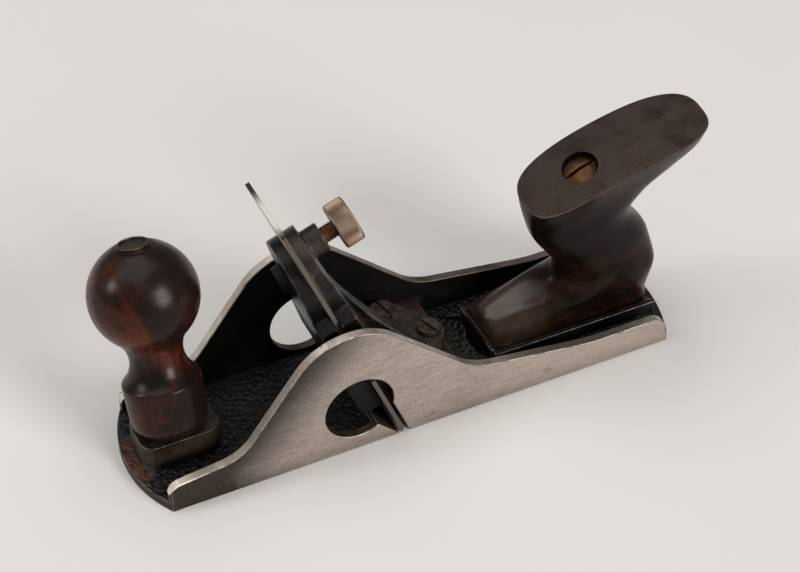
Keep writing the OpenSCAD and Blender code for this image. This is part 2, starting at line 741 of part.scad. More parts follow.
module frog() {
  color(iron_black) difference() {
    union() {
      in_blade_frame() {
        intersection() {
          cross_solid(-eps, far) jaw_outline(0);
          side_solid(-body_width, body_width)
            polygon([[-eps, -eps], [-eps, jaw_top + eps], [jaw_face + jaw_top_thickness, jaw_top + eps],
              [jaw_face + jaw_foot_thickness, bar_height], [jaw_face + jaw_foot_thickness, -eps]]);
        }
        translate([0, 0, thumb_height]) bar_x(0, thumb_boss_reach, thumb_boss_radius);
      }
      translate([0, 0, bed_height - eps]) linear_extrude(foot_top - bed_height + eps) foot_outline();
      side_solid(-web_thickness / 2, web_thickness / 2) web_outline();
    }
    in_blade_frame() {
      translate([jaw_face - far, -body_width, -far]) cube([far, 2 * body_width, 2 * far]);
      translate([0, 0, thumb_height]) bar_x(-far, far, thumb_shank_diameter / 2 + run_fit);
      translate([0, 0, cap_screw_height])
        bar_x(-far, jaw_face + jaw_top_thickness, cap_screw_diameter / 2 + run_fit);
    }
    translate([-far, -far, bed_height - far]) cube([2 * far, 2 * far, far]);
    for (p = frog_places)
      translate([p[0], p[1], 0]) cylinder(h = foot_top + eps, r = foot_screw_diameter / 2 + hole_room);
  }
}

module frog_screw(index, slot_angle) {
  color(rust) translate([frog_places[index][0], frog_places[index][1], foot_top])
    slotted_screw(foot_screw_diameter, foot_top - bed_height + foot_screw_grip, foot_head_diameter,
      foot_head_height, slot_angle);
}

module frog_screw_right() {
  frog_screw(0, 40);
}

module frog_screw_left() {
  frog_screw(1, 100);
}

module frog_screw_rear() {
  frog_screw(2, -70);
}

module thumbscrew_shank() {
  color(rust) in_blade_frame() translate([0, 0, thumb_height])
    bar_x(blade_half + run_fit, thumb_boss_reach + thumb_standoff + thumb_shank_grip,
      thumb_shank_diameter / 2);
}

module thumbscrew_head() {
  inner = thumb_boss_reach + thumb_standoff;
  color(nickel) in_blade_frame() translate([inner, 0, thumb_height]) rotate([0, 90, 0]) difference() {
    linear_extrude(thumb_head_thickness) difference() {
      circle(d = thumb_head_diameter);
      for (k = [0 : knurl_count - 1])
        rotate(360 * k / knurl_count) translate([thumb_head_diameter / 2, 0]) rotate(45)
          square(knurl_depth * sqrt(2), center = true);
    }
    translate([0, 0, -eps])
      cylinder(h = thumb_shank_grip + eps + run_fit, d = thumb_shank_diameter + 2 * run_fit);
  }
}

// Waste below a rounded seat whose axis runs along X
module seat_waste(x0, x1, axis_height, radius, half_width) {
  rim = axis_height - sqrt(pow(radius, 2) - pow(half_width, 2));
  difference() {
    translate([x0, -half_width - eps, -far]) cube([x1 - x0, 2 * (half_width + eps), rim + far]);
    translate([0, 0, axis_height]) bar_x(x0 - eps, x1 + eps, radius);
  }
}

// Hollow in a handle that clears its fork over the whole swing
module fork_hollow(place, axis_height, half_length, seat_radius, swing) {
  top = fork_radius + fork_room;
  low = seat_radius * sin(asin(fork_half_width / seat_radius) + swing + 2);
  reach = half_length + fork_room;
  cross_solid(place - reach, place + reach) translate([0, axis_height]) union() {
    circle(top);
    polygon([[-top, 0], [-low, -seat_radius * 0.8], [-low, -2 * seat_radius], [low, -2 * seat_radius],
      [low, -seat_radius * 0.8], [top, 0]]);
  }
}

module pivot_nut(half_length, rod_diameter, lean) {
  difference() {
    bar_x(-half_length, half_length, pivot_diameter / 2);
    rotate([0, -lean, 0]) cylinder(h = far, d = rod_diameter + 2 * run_fit, center = true);
  }
}

module knob_profile() {
  low = knob_axis_height - knob_seat_radius - eps;
  rim = knob_axis_height - sqrt(pow(knob_seat_radius, 2) - pow(knob_shoulder_radius, 2));
  difference() {
    union() {
      polygon([[0, low], [knob_foot_radius, low], [knob_shoulder_radius, knob_shoulder_height],
        [knob_shoulder_radius, knob_neck_start], knob_neck_end, [0, knob_neck_end[1]]]);
      intersection() {
        translate(knob_ball_centre) circle(knob_ball_radius);
        translate([0, knob_ball_height - knob_ball_radius])
          square([knob_ball_radius, knob_flat_height - knob_ball_height + knob_ball_radius]);
      }
    }
    translate(knob_neck_centre) circle(knob_neck_round);
    difference() {
      translate([0, low - eps]) square([knob_shoulder_radius + eps, rim - low + eps]);
      translate([0, knob_axis_height]) circle(knob_seat_radius);
    }
  }
}

module front_knob() {
  color(rosewood) in_knob_frame() difference() {
    rotate_extrude() knob_profile();
    fork_hollow(0, knob_axis_height, knob_pivot_half, knob_seat_radius, knob_swing);
    translate([0, 0, knob_axis_height])
      cylinder(h = far, r = knob_rod_diameter / 2 + hole_room);
    translate([0, 0, knob_flat_height - knob_barrel_length - hole_room])
      cylinder(h = far, r = knob_barrel_radius + hole_room);
  }
}

module knob_rod() {
  color(rust) in_knob_frame() translate([0, 0, knob_axis_height - pivot_diameter / 2])
    cylinder(h = knob_rod_top - knob_axis_height + pivot_diameter / 2, d = knob_rod_diameter);
}

module knob_pivot_nut() {
  color(rust) in_knob_frame() translate([0, 0, knob_axis_height])
    pivot_nut(knob_pivot_half, knob_rod_diameter, 0);
}

module knob_washer() {
  color(brass) in_knob_frame() translate([0, 0, knob_flat_height]) difference() {
    cylinder(h = knob_washer_thickness, r = knob_washer_radius);
    translate([0, 0, -eps]) cylinder(h = knob_washer_thickness + 2 * eps, r = knob_barrel_radius + hole_room);
  }
}

module knob_nut() {
  color(brass) in_knob_frame() translate([0, 0, knob_rod_top]) difference() {
    union() {
      cylinder(h = knob_nut_height, r = knob_nut_radius);
      translate([0, 0, -knob_barrel_length - knob_washer_thickness])
        cylinder(h = knob_barrel_length + knob_washer_thickness + eps, r = knob_barrel_radius);
    }
    translate([0, 0, knob_nut_height - knob_nut_dish]) cylinder(h = far, r = knob_nut_radius - knob_nut_rim);
    translate([0, 0, -far]) cylinder(h = far, r = knob_rod_diameter / 2 + run_fit);
  }
}

// Smooth stack of level sections, closed at both ends
module handle_loft() {
  count = section_steps;
  sections = [for (z = levels) handle_section(z)];
  top = len(levels) - 1;
  polyhedron(
    points = [for (s = sections) each s],
    faces = concat(
      [[for (k = [0 : count - 1]) k]],
      [[for (k = [count - 1 : -1 : 0]) top * count + k]],
      [for (i = [0 : top - 1]) for (k = [0 : count - 1]) let (n = (k + 1) % count)
        each [[i * count + k, (i + 1) * count + k, (i + 1) * count + n],
          [i * count + k, (i + 1) * count + n, i * count + n]]]));
}

module rear_handle() {
  color(rosewood) in_handle_frame() difference() {
    intersection() {
      handle_loft();
      side_solid(-body_width, body_width) translate(crown_centre) circle(crown_radius, $fn = 360);
    }
    seat_waste(0, far, tote_axis_height, tote_seat_radius, foot_half_width);
    fork_hollow(tote_pivot_place, tote_axis_height, tote_pivot_half, tote_seat_radius, tote_swing);
    on_handle_rod() {
      translate([0, 0, -tote_rod_length]) cylinder(h = far, r = tote_rod_diameter / 2 + hole_room);
      translate([0, 0, -tote_nut_sink]) cylinder(h = far, r = tote_nut_diameter / 2 + hole_room);
      translate([0, 0, -tote_nut_sink - tote_barrel_length - hole_room])
        cylinder(h = far, r = tote_barrel_radius + hole_room);
    }
  }
}

module handle_rod() {
  color(rust) in_handle_frame() on_handle_rod() translate([0, 0, -tote_rod_length - pivot_diameter / 2])
    cylinder(h = tote_rod_length + pivot_diameter / 2 - tote_nut_sink, d = tote_rod_diameter);
}

module handle_pivot_nut() {
  color(rust) in_handle_frame() translate([tote_pivot_place, 0, tote_axis_height])
    pivot_nut(tote_pivot_half, tote_rod_diameter, tote_rod_lean);
}

module handle_nut() {
  radius = tote_nut_diameter / 2;
  dome = (radius * radius + tote_nut_dome * tote_nut_dome) / (2 * tote_nut_dome);
  head = tote_nut_rim + tote_nut_dome;
  color(brass) in_handle_frame() on_handle_rod() translate([0, 0, -tote_nut_sink]) difference() {
    union() {
      intersection() {
        cylinder(h = head, r = radius);
        translate([0, 0, head - dome]) sphere(dome);
      }
      translate([0, 0, -tote_barrel_length]) cylinder(h = tote_barrel_length + eps, r = tote_barrel_radius);
    }
    translate([0, 0, -far]) cylinder(h = far, r = tote_rod_diameter / 2 + run_fit);
    rotate([0, 0, 7]) translate([-radius - eps, -slot_width / 2, head - slot_depth - tote_nut_dome / 2])
      cube([tote_nut_diameter + 2 * eps, slot_width, far]);
  }
}

body_casting();
scraper_blade();
blade_cap();
cap_screw();
frog();
frog_screw_right();
frog_screw_left();
frog_screw_rear();
thumbscrew_shank();
thumbscrew_head();
front_knob();
knob_rod();
knob_pivot_nut();
knob_washer();
knob_nut();
rear_handle();
handle_rod();
handle_pivot_nut();
handle_nut();
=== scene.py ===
import math

import bmesh
import bpy
import numpy as np
from mathutils import Matrix, Vector


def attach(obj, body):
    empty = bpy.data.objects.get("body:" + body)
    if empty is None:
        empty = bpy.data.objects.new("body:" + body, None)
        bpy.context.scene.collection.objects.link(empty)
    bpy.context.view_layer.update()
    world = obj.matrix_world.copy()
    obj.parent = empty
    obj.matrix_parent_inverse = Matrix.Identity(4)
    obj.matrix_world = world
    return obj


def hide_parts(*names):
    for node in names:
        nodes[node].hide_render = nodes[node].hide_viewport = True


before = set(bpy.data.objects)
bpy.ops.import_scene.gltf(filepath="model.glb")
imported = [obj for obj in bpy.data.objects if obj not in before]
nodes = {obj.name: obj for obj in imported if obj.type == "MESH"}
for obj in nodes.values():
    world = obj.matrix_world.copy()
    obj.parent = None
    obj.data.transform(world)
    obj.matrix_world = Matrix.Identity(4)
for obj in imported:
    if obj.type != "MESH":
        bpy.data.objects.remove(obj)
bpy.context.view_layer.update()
scene = bpy.context.scene

MM = 0.001
TO_METRES = Matrix.Scale(MM, 4)
WELD = 0.002 * MM  # points closer than this are one point
GRID_WELD, GRID_SLIVER = 1e-4, 1e-5  # the same for grids, in millimetres

# Sizes shared with the part's source, in millimetres and degrees
HALF_WIDTH, CHEEK, FLOOR = 25.4, 3.2, 4.0
PORT_PLACE, PORT_HEIGHT, PORT_RADIUS = -25.8, 18.6, 12.7
BLADE_PLACE, BLADE_LEAN, BLADE_LENGTH, BLADE_HALF = -9.3, 21.2, 101.0, 15.0
THUMB_HEIGHT, THUMB_INNER, THUMB_DIAMETER, THUMB_DEPTH = 77.1, 16.3, 16.1, 7.0
SHANK_START, SHANK_END, SHANK_RADIUS = 0.85, 21.3, 3.0
KNOB_PLACE, KNOB_AXIS, KNOB_TILT, KNOB_SEAT = -85.2, 27.2, 18.0, 15.0
KNOB_EDGE, KNOB_SHOULDER, KNOB_NECK = 20.05, (13.5, 32.6), (9.2, 43.9)
KNOB_BALL, KNOB_FLAT, KNOB_HOLE, KNOB_BARREL = (18.6, 65.7), 82.9, 2.8, (4.3, 14.3)
TOTE_AXIS, TOTE_TILT, TOTE_SEAT = 24.8, 8.0, 20.0
CROWN_SCREW, CROWN_SLOPE, CROWN_RADIUS = (65.3, 78.4), 22.0, 157.0
ROD_LEAN, ROD_HOLE, NUT_HOLE, NUT_SINK, BARREL_HOLE = 16.0, 3.3, 6.3, 3.8, (4.7, 20.1)
FRONT_LINE = [(33, 0), (33, 9), (33.6, 14), (43, 18.6), (54.5, 21.2), (61.8, 28), (49, 52.5), (45, 68),
              (44.4, 80), (44.4, 108)]
REAR_LINE = [(100.6, 0), (100.6, 5), (101.7, 19), (97, 38.5), (87, 56), (92, 66.5), (104, 76), (111.4, 84),
             (111.4, 114)]
HALF_FOOT, HALF_WAIST, HALF_TOP, FLARE_DEPTH = 12.4, 11.0, 14.2, 17.0
# Hollows round the two forks: radius of the round top, then middle along the piece, half length, half width
FORK_TOP, KNOB_FORK, TOTE_FORK = 7.8, (0.0, 6.3, 9.93), (80.67, 8.986, 9.54)

BLADE_FRAME = Matrix.Translation((BLADE_PLACE, 0, 0)) @ Matrix.Rotation(math.radians(-BLADE_LEAN), 4, "Y")
KNOB_FRAME = (Matrix.Translation((KNOB_PLACE, 0, KNOB_AXIS))
              @ Matrix.Rotation(math.radians(-KNOB_TILT), 4, "X") @ Matrix.Translation((0, 0, -KNOB_AXIS)))
TOTE_FRAME = (Matrix.Translation((0, 0, TOTE_AXIS))
              @ Matrix.Rotation(math.radians(TOTE_TILT), 4, "X") @ Matrix.Translation((0, 0, -TOTE_AXIS)))
ROD_FRAME = (Matrix.Translation((CROWN_SCREW[0], 0, CROWN_SCREW[1]))
             @ Matrix.Rotation(math.radians(-ROD_LEAN), 4, "Y"))


class Look:
    """One procedural material. Its textures are laid in the piece's own space, in millimetres."""

    def __init__(self, name, **sockets):
        self.material = bpy.data.materials.new(name)
        self.material.use_nodes = True
        tree = self.material.node_tree
        self.nodes, self.links = tree.nodes, tree.links
        self.shader = self.nodes["Principled BSDF"]
        for key, value in sockets.items():
            self.shader.inputs[key.replace("_", " ")].default_value = value
        coords = self.nodes.new("ShaderNodeTexCoord")
        self.place = self.add("VectorMath", {0: coords.outputs["Object"], 1: (1000, 1000, 1000)},
                              operation="MULTIPLY")

    def add(self, kind, inputs, out=0, **settings):
        """Adds a shader node and gives one of its outputs."""
        made = self.nodes.new("ShaderNode" + kind)
        for key, value in settings.items():
            setattr(made, key, value)
        for key, value in inputs.items():
            self.feed(made.inputs[key], value)
        return made.outputs[out]

    def feed(self, socket, value):
        """Links an output to a socket, or sets it to a constant. Colours are (red, green, blue)."""
        if isinstance(value, bpy.types.NodeSocket):
            self.links.new(value, socket)
        else:
            socket.default_value = (*value, 1.0) if socket.type == "RGBA" else value

    def turned(self, frame_matrix):
        """Lays the textures in a tilted frame, so that the grain follows the piece."""
        inverse = frame_matrix.inverted()
        self.place = self.add("Mapping", {"Vector": self.place, "Location": inverse.translation,
                                          "Rotation": inverse.to_euler()})

    def axis(self, letter):
        return self.add("SeparateXYZ", {"Vector": self.place}, out="XYZ".index(letter))

    def noise(self, scale, detail=4.0, rough=0.5, stretch=(1, 1, 1), seed=0.0, twist=0.0):
        """Noise from 0 to 1. A small stretch draws it out along that axis, and seed shifts it."""
        spot = self.add("Mapping", {"Vector": self.place, "Location": (seed * 7.3, seed * 3.1, seed * 5.7),
                                    "Scale": stretch})
        return self.add("TexNoise", {"Vector": spot, "Scale": scale, "Detail": detail, "Roughness": rough,
                                     "Distortion": twist})

    def step(self, value, low, high):
        """0 below low, 1 above high, smooth between."""
        return self.add("MapRange", {"Value": value, "From Min": low, "From Max": high},
                        interpolation_type="SMOOTHSTEP")

    def fade(self, value, low, high):
        """1 below low, 0 above high, smooth between."""
        return self.math("SUBTRACT", 1.0, self.step(value, low, high))

    def scaled(self, value, low, high):
        """Lays a value from 0 to 1 on the range from low to high."""
        return self.add("MapRange", {"Value": value, "To Min": low, "To Max": high})

    def math(self, operation, a, b=0.0, **settings):
        return self.add("Math", {0: a, 1: b}, operation=operation, **settings)

    def plus(self, a, b):
        """The sum of two values, held between 0 and 1."""
        return self.math("ADD", a, b, use_clamp=True)

    def times(self, product, *factors):
        for factor in factors:
            product = self.math("MULTIPLY", product, factor)
        return product

    def mix(self, share, a, b):
        return self.add("Mix", {0: share, 6: a, 7: b}, out=2, data_type="RGBA")

    def over(self, base, colour, value, low, high, share):
        """Lays a share of a colour over base where a value rises from low to high."""
        return self.mix(self.times(self.step(value, low, high), share), base, colour)

    def set(self, socket, value):
        self.feed(self.shader.inputs[socket], value)

    def finished(self, colour, roughness, height, depth, strength):
        """The material with its colour, its roughness and a bump whose depth is in millimetres."""
        self.set("Base Color", colour)
        self.set("Roughness", roughness)
        self.set("Normal", self.add("Bump", {"Strength": strength, "Distance": depth * MM, "Height": height}))
        return self.material


# Places in millimetres between which a finish, a painted shade or a painted highlight fades in or out
TOE_BROWNING, TOE_SLANT = (-85.0, -50.0), 0.85
LOW_PATINA, ABOVE_SOLE, REAR_PAINTED_LIGHT = (0.2, 7.0), (0.01, 0.4), (5.0, 75.0)
RIM_REAR, RIM_FAR, RIM_TOE = (-30.0, -5.0), (-5.0, 5.0), (-90.0, -82.0)
TOE_RUST_X, TOE_RUST_NEAR, TOE_RUST_FAR, TOE_RUST_TOP = (-99.0, -92.0), (-15.0, -9.0), (4.0, 12.0), (5.0, 9.0)
BED_FRONT, BED_REAR, BED_LOW, BED_TOP = (-14.0, -6.0), (17.0, 23.0), (8.0, 11.0), (11.5, 14.0)
SEAT_REAR, SEAT_LOW = (-70.0, -66.0), (6.0, 9.0)
FROG_FOOT_TOP, FROG_FOOT_FRONT = (16.0, 24.0), (-8.0, -2.0)
BOSS_CENTRE, BOSS_REACH = (-30.0, 0.0, 75.0), (8.0, 13.0)
CLAMP_SHADE_TOP, CLAMP_SHADE_REAR = (28.0, 40.0), (-16.0, -9.0)
BLADE_HIGHLIGHT_NEAR, BLADE_HIGHLIGHT_FAR = (-15.0, -8.0), (1.0, 11.0)

RUST_DARK, RUST, RUST_PALE = (0.022, 0.0125, 0.0085), (0.07, 0.034, 0.017), (0.085, 0.029, 0.007)
SEAT_RUST = (0.075, 0.043, 0.026)
JAPAN, JAPAN_DULL = (0.0028, 0.0026, 0.0026), (0.0075, 0.0068, 0.0062)
TARNISH, RUBBED = (0.1, 0.074, 0.056), (0.92, 0.8, 0.68)
IRON, IRON_DARK, IRON_BROWN = (0.62, 0.53, 0.475), (0.24, 0.2, 0.176), (0.022, 0.0135, 0.009)
IRON_PALE, PORE = (0.82, 0.7, 0.62), (0.004, 0.0022, 0.0017)


def machined_iron(name):
    """Bare iron, ground lengthwise, browned towards the toe and the sole, with a few stains.
    The brown towards the toe is partly patina and partly painted shade; the paler rear is a painted
    highlight.
    """
    look = Look(name)
    lines = look.noise(3.2, 4, 0.7, (0.07, 1.0, 1.0), 1)
    coarse = look.noise(0.35, 4, 0.65, (0.3, 1.0, 1.0), 2)
    cloud = look.noise(0.055, 4, 0.6, (0.6, 1.0, 1.0), 3)
    stain = look.noise(0.16, 5, 0.62, (0.7, 1.0, 1.0), 4, 0.6)
    fine = look.noise(2.2, 4, 0.75, (0.6, 1, 1), 5)
    x, z = look.axis("X"), look.axis("Z")
    # Brown towards the toe: partly patina, partly painted shade
    toe = look.fade(look.math("SUBTRACT", x, look.times(z, TOE_SLANT)), *TOE_BROWNING)
    toe = look.times(toe, look.step(z, *ABOVE_SOLE))
    low = look.times(look.fade(z, *LOW_PATINA), look.scaled(stain, 0.0, 0.7))
    base = look.over(IRON, IRON_DARK, cloud, 0.36, 0.75, 0.22)
    base = look.over(base, IRON_DARK, lines, 0.4, 0.68, 0.5)
    base = look.over(base, IRON_DARK, coarse, 0.46, 0.7, 0.3)
    base = look.over(base, IRON_DARK, fine, 0.44, 0.66, 0.6)
    # Painted highlight: the iron is made paler towards the rear, as if lit there
    base = look.over(base, IRON_PALE, x, *REAR_PAINTED_LIGHT, 0.3)
    browning = look.plus(toe, look.plus(low, look.times(look.step(stain, 0.65, 0.74), 0.45)))
    grain = look.plus(look.times(lines, 0.5), look.times(fine, 0.5))
    browning = look.math("MINIMUM", look.times(browning, look.scaled(grain, 0.72, 1.28)), 1.0)
    base = look.mix(browning, base, IRON_BROWN)
    look.set("Metallic", look.scaled(browning, 1.0, 0.5))
    rough = look.scaled(look.plus(look.times(lines, 0.6), look.times(cloud, 0.5)), 0.24, 0.52)
    height = look.plus(look.times(lines, 0.7), look.times(coarse, 0.3))
    return look.finished(base, rough, height, 0.05, 0.6)


def tarnished(look, base, cloud):
    """Browns a rim behind the humps, most on the far cheek, and leaves it rubbed bright at the toe."""
    x, y = look.axis("X"), look.axis("Y")
    share = look.times(look.step(x, *RIM_REAR), look.scaled(look.step(y, *RIM_FAR), 0.3, 0.9))
    base = look.mix(look.times(share, look.scaled(cloud, 0.7, 1.3)), base, TARNISH)
    return look.mix(look.fade(x, *RIM_TOE), base, RUBBED)


def rim_iron(name):
    """The filed top edge of the cheeks: cross scratches, darker nicks and a brown tarnish."""
    look = Look(name, Metallic=1.0)
    lines = look.noise(3.4, 3, 0.6, (1.0, 0.06, 1.0), 11)
    cloud = look.noise(0.12, 4, 0.6, seed=12)
    nick = look.noise(0.75, 3, 0.6, seed=13)
    base = look.mix(look.step(cloud, 0.36, 0.66), (0.8, 0.73, 0.65), (0.52, 0.445, 0.38))
    base = look.over(base, IRON_DARK, lines, 0.5, 0.72, 0.4)
    base = look.over(base, IRON_BROWN, nick, 0.6, 0.72, 0.7)
    base = tarnished(look, base, cloud)
    return look.finished(base, look.scaled(cloud, 0.28, 0.5), look.plus(lines, nick), 0.05, 0.5)


def clamp_wear(look, base, rubbed, cloud, speck):
    """Colour and wear of the clamp: bare edges lightened in part as painted highlights, rusty hollows,
    mottled foot, a rubbed boss with a painted sheen, and painted shade on its lower front end in the port.
    """
    x, z = look.axis("X"), look.axis("Z")
    stand_out = look.add("Attribute", {}, out=2, attribute_name="stand_out")
    uneven = look.times(look.math("SUBTRACT", cloud, 0.5), 1.6)
    # Worn edges: bare iron, made lighter in part as a painted highlight
    bare = look.mix(speck, (0.15, 0.11, 0.088), (0.045, 0.031, 0.024))
    base = look.over(base, bare, look.plus(stand_out, uneven), 0.3, 0.8, 0.85)
    set_in = look.add("Attribute", {}, out=2, attribute_name="set_in")
    patchy = look.plus(look.times(cloud, 0.6), look.times(speck, 0.4))
    hollow_rust = look.mix(speck, (0.03, 0.015, 0.008), (0.12, 0.055, 0.02))
    base = look.mix(look.times(set_in, look.step(patchy, 0.42, 0.56), 0.85), base, hollow_rust)
    foot_patches = look.step(look.noise(0.14, 4, 0.6, seed=26), 0.36, 0.56)
    foot = look.times(look.fade(z, *FROG_FOOT_TOP), look.step(x, *FROG_FOOT_FRONT), foot_patches)
    foot_rust = look.mix(look.step(speck, 0.44, 0.6), (0.005, 0.0038, 0.003), (0.06, 0.033, 0.019))
    base = look.mix(look.times(foot, 0.85), base, foot_rust)
    # The boss: partly rubbed metal, partly a painted sheen
    boss = look.add("VectorMath", {0: look.place, 1: BOSS_CENTRE}, out=1, operation="DISTANCE")
    boss = look.times(look.fade(boss, *BOSS_REACH), look.step(cloud, 0.3, 0.6))
    boss_rub_and_sheen = look.mix(speck, (0.075, 0.056, 0.046), (0.03, 0.019, 0.013))
    base = look.mix(look.times(boss, 0.6), base, boss_rub_and_sheen)
    # Painted shade: the clamp's lower front end, down in the port, is darkened
    inside = look.times(look.fade(z, *CLAMP_SHADE_TOP), look.fade(x, *CLAMP_SHADE_REAR))
    base = look.mix(look.times(inside, 0.9), base, (0.0025, 0.0018, 0.0014))
    return base, look.plus(look.plus(rubbed, look.times(foot, 0.8)), inside)


def casting_rust(look, base, rubbed, cloud, speck):
    """Colour and wear of the casting's inside: rust on the toe, the clamp's bed and the knob's seat."""
    x, y, z = (look.axis(letter) for letter in "XYZ")
    toe_patches = look.step(look.noise(0.22, 4, 0.65, seed=25), 0.36, 0.56)
    toe = look.times(look.step(y, *TOE_RUST_NEAR), look.fade(y, *TOE_RUST_FAR), look.fade(x, *TOE_RUST_X),
                     look.fade(z, *TOE_RUST_TOP), toe_patches)
    bed = look.times(look.step(x, *BED_FRONT), look.fade(x, *BED_REAR), look.step(z, *BED_LOW),
                     look.fade(z, *BED_TOP), look.step(cloud, 0.35, 0.55))
    seat = look.times(look.fade(x, *SEAT_REAR), look.step(z, *SEAT_LOW), look.step(cloud, 0.34, 0.6))
    base = look.mix(look.times(seat, 0.7), base, look.mix(speck, RUST_DARK, SEAT_RUST))
    base = look.mix(toe, base, RUST_PALE)
    base = look.mix(look.times(toe, look.step(speck, 0.5, 0.6)), base, RUST_DARK)
    base = look.mix(look.times(bed, 0.85), base, RUST_DARK)
    return base, look.plus(look.plus(rubbed, look.times(seat, 0.6)), look.plus(toe, bed))


def japanned_iron(name, wear, depth=0.28, gloss=0.13, rough=(0.24, 0.46), lumps=(0.32, 0.45)):
    """Black japan over a sandy casting, rubbed brown in places. wear is the function that adds a piece's own
    wear, or None, and lumps holds the scale and the share of the coarse unevenness."""
    look = Look(name, Specular_IOR_Level=gloss)
    lump_scale, lumpy = lumps
    sand = look.noise(1.3, 4, 0.6, seed=21)
    lump = look.noise(lump_scale, 3, 0.5, seed=22)
    cloud = look.noise(0.07, 4, 0.6, seed=23)
    speck = look.noise(0.9, 4, 0.7, seed=24)
    base = look.mix(look.step(cloud, 0.35, 0.7), JAPAN, JAPAN_DULL)
    rubbed = look.step(look.plus(look.times(cloud, 0.62), look.times(speck, 0.45)), 0.62, 0.74)
    base = look.mix(look.times(rubbed, 0.8), base, RUST_DARK)
    base = look.over(base, RUST, speck, 0.68, 0.76, 0.8)
    worn = rubbed
    if wear:
        base, worn = wear(look, base, rubbed, cloud, speck)
    height = look.plus(look.times(sand, 1 - lumpy), look.times(lump, lumpy))
    roughness = look.plus(look.scaled(sand, *rough), look.times(worn, 0.3))
    return look.finished(base, roughness, height, depth, 0.55)


def worn_edge(name, covered, bare, share, metallic, tarnish=False):
    """Edges of a casting. share says how much of them is rubbed bare. tarnish browns them as the rims."""
    look = Look(name)
    rubbed = look.step(look.noise(0.2, 4, 0.65, seed=31), 0.62 - 0.4 * share, 0.78 - 0.4 * share)
    fine = look.noise(1.4, 3, 0.6, seed=32)
    dim = tuple(0.45 * c for c in bare)
    base = look.mix(rubbed, covered, look.mix(fine, bare, dim))
    if tarnish:
        base = tarnished(look, base, fine)
    look.set("Metallic", look.times(rubbed, metallic))
    return look.finished(base, look.scaled(fine, 0.36, 0.6), fine, 0.06, 0.5)


def dark_cut_iron(name):
    """Cut faces of the mouth and the port, browned with age and darkened in part as painted shade in those
    hollows.
    """
    look = Look(name, Metallic=0.55)
    lines = look.noise(2.2, 3, 0.6, (1.0, 0.08, 1.0), 41)
    cloud = look.noise(0.2, 4, 0.65, seed=42)
    base = look.mix(look.step(cloud, 0.35, 0.65), (0.014, 0.01, 0.008), (0.05, 0.031, 0.02))
    base = look.over(base, RUST_DARK, lines, 0.5, 0.7, 0.4)
    return look.finished(base, look.scaled(cloud, 0.4, 0.65), look.plus(lines, cloud), 0.07, 0.5)


def blade_steel(name):
    """Ground blade: fine lines across it, browned narrow edges, and a dark top end with a painted highlight
    in its middle.
    """
    look = Look(name, Metallic=0.6, Specular_IOR_Level=0.25)
    look.turned(BLADE_FRAME)
    lines = look.noise(6.0, 3, 0.6, (1.0, 0.02, 1.0), 51)
    cloud = look.noise(0.09, 4, 0.6, seed=52)
    spots = look.noise(0.5, 4, 0.65, seed=53)
    y, z = look.axis("Y"), look.axis("Z")
    base = look.mix(look.step(cloud, 0.36, 0.68), (0.62, 0.56, 0.5), (0.45, 0.4, 0.35))
    base = look.over(base, (0.3, 0.26, 0.22), lines, 0.5, 0.72, 0.25)
    base = look.over(base, (0.11, 0.07, 0.045), spots, 0.64, 0.74, 0.5)
    side = look.step(look.math("ABSOLUTE", y), BLADE_HALF - 1.0, BLADE_HALF - 0.4)
    side_brown = look.mix(lines, (0.15, 0.122, 0.1), (0.05, 0.038, 0.03))
    base = look.mix(look.times(side, 0.95), base, side_brown)
    # Painted highlight: the middle of the top end is lightened, and the rest of it stays dark brown
    top_end = look.step(z, BLADE_LENGTH - 1.2, BLADE_LENGTH - 0.5)
    rubbed = look.times(look.fade(y, *BLADE_HIGHLIGHT_FAR), look.step(y, *BLADE_HIGHLIGHT_NEAR))
    base = look.mix(top_end, base, look.mix(rubbed, (0.04, 0.026, 0.017), (0.68, 0.63, 0.565)))
    return look.finished(base, look.scaled(lines, 0.3, 0.42), lines, 0.02, 0.5)


def rusty_steel(name, dark, light, spots):
    """Old screws and rods, browned all over, with spots of a third colour."""
    look = Look(name, Metallic=0.45, Specular_IOR_Level=0.2)
    cloud = look.noise(0.35, 4, 0.65, seed=61)
    fine = look.noise(2.2, 4, 0.7, seed=62)
    base = look.mix(look.step(cloud, 0.36, 0.64), dark, light)
    base = look.mix(look.step(fine, 0.54, 0.68), base, spots)
    return look.finished(base, look.scaled(fine, 0.42, 0.75), look.plus(fine, cloud), 0.1, 0.7)


def warm_nickel(name):
    """The thumbscrew's worn plating, with the faint rings of a turned face and a darker outer end."""
    look = Look(name, Metallic=1.0)
    look.turned(BLADE_FRAME @ Matrix.Translation((0, 0, THUMB_HEIGHT)))
    cloud = look.noise(0.16, 4, 0.6, seed=71)
    fine = look.noise(1.7, 4, 0.65, seed=72)
    y, z = look.axis("Y"), look.axis("Z")
    rings = look.math("SINE", look.times(look.math("ADD", look.times(y, y), look.times(z, z)), 0.9))
    base = look.mix(look.step(cloud, 0.36, 0.66), (0.27, 0.198, 0.145), (0.19, 0.135, 0.096))
    base = look.over(base, (0.14, 0.095, 0.065), fine, 0.58, 0.74, 0.35)
    outer_face = look.step(look.axis("X"), THUMB_INNER + THUMB_DEPTH - 0.4, THUMB_INNER + THUMB_DEPTH - 0.1)
    base = look.mix(look.times(outer_face, 0.75), base, (0.105, 0.072, 0.052))
    height = look.plus(look.times(rings, 0.2), look.times(fine, 0.6))
    return look.finished(base, look.scaled(fine, 0.34, 0.42), height, 0.03, 0.45)


def old_brass(name, light, dark):
    """Tarnished brass between two colours, with dark dirt."""
    look = Look(name, Metallic=0.9)
    cloud = look.noise(0.3, 4, 0.65, seed=81)
    fine = look.noise(1.9, 4, 0.65, seed=82)
    base = look.mix(look.step(cloud, 0.34, 0.64), light, dark)
    base = look.over(base, (0.045, 0.026, 0.016), fine, 0.54, 0.7, 0.6)
    return look.finished(base, look.scaled(fine, 0.3, 0.56), look.plus(fine, cloud), 0.05, 0.5)


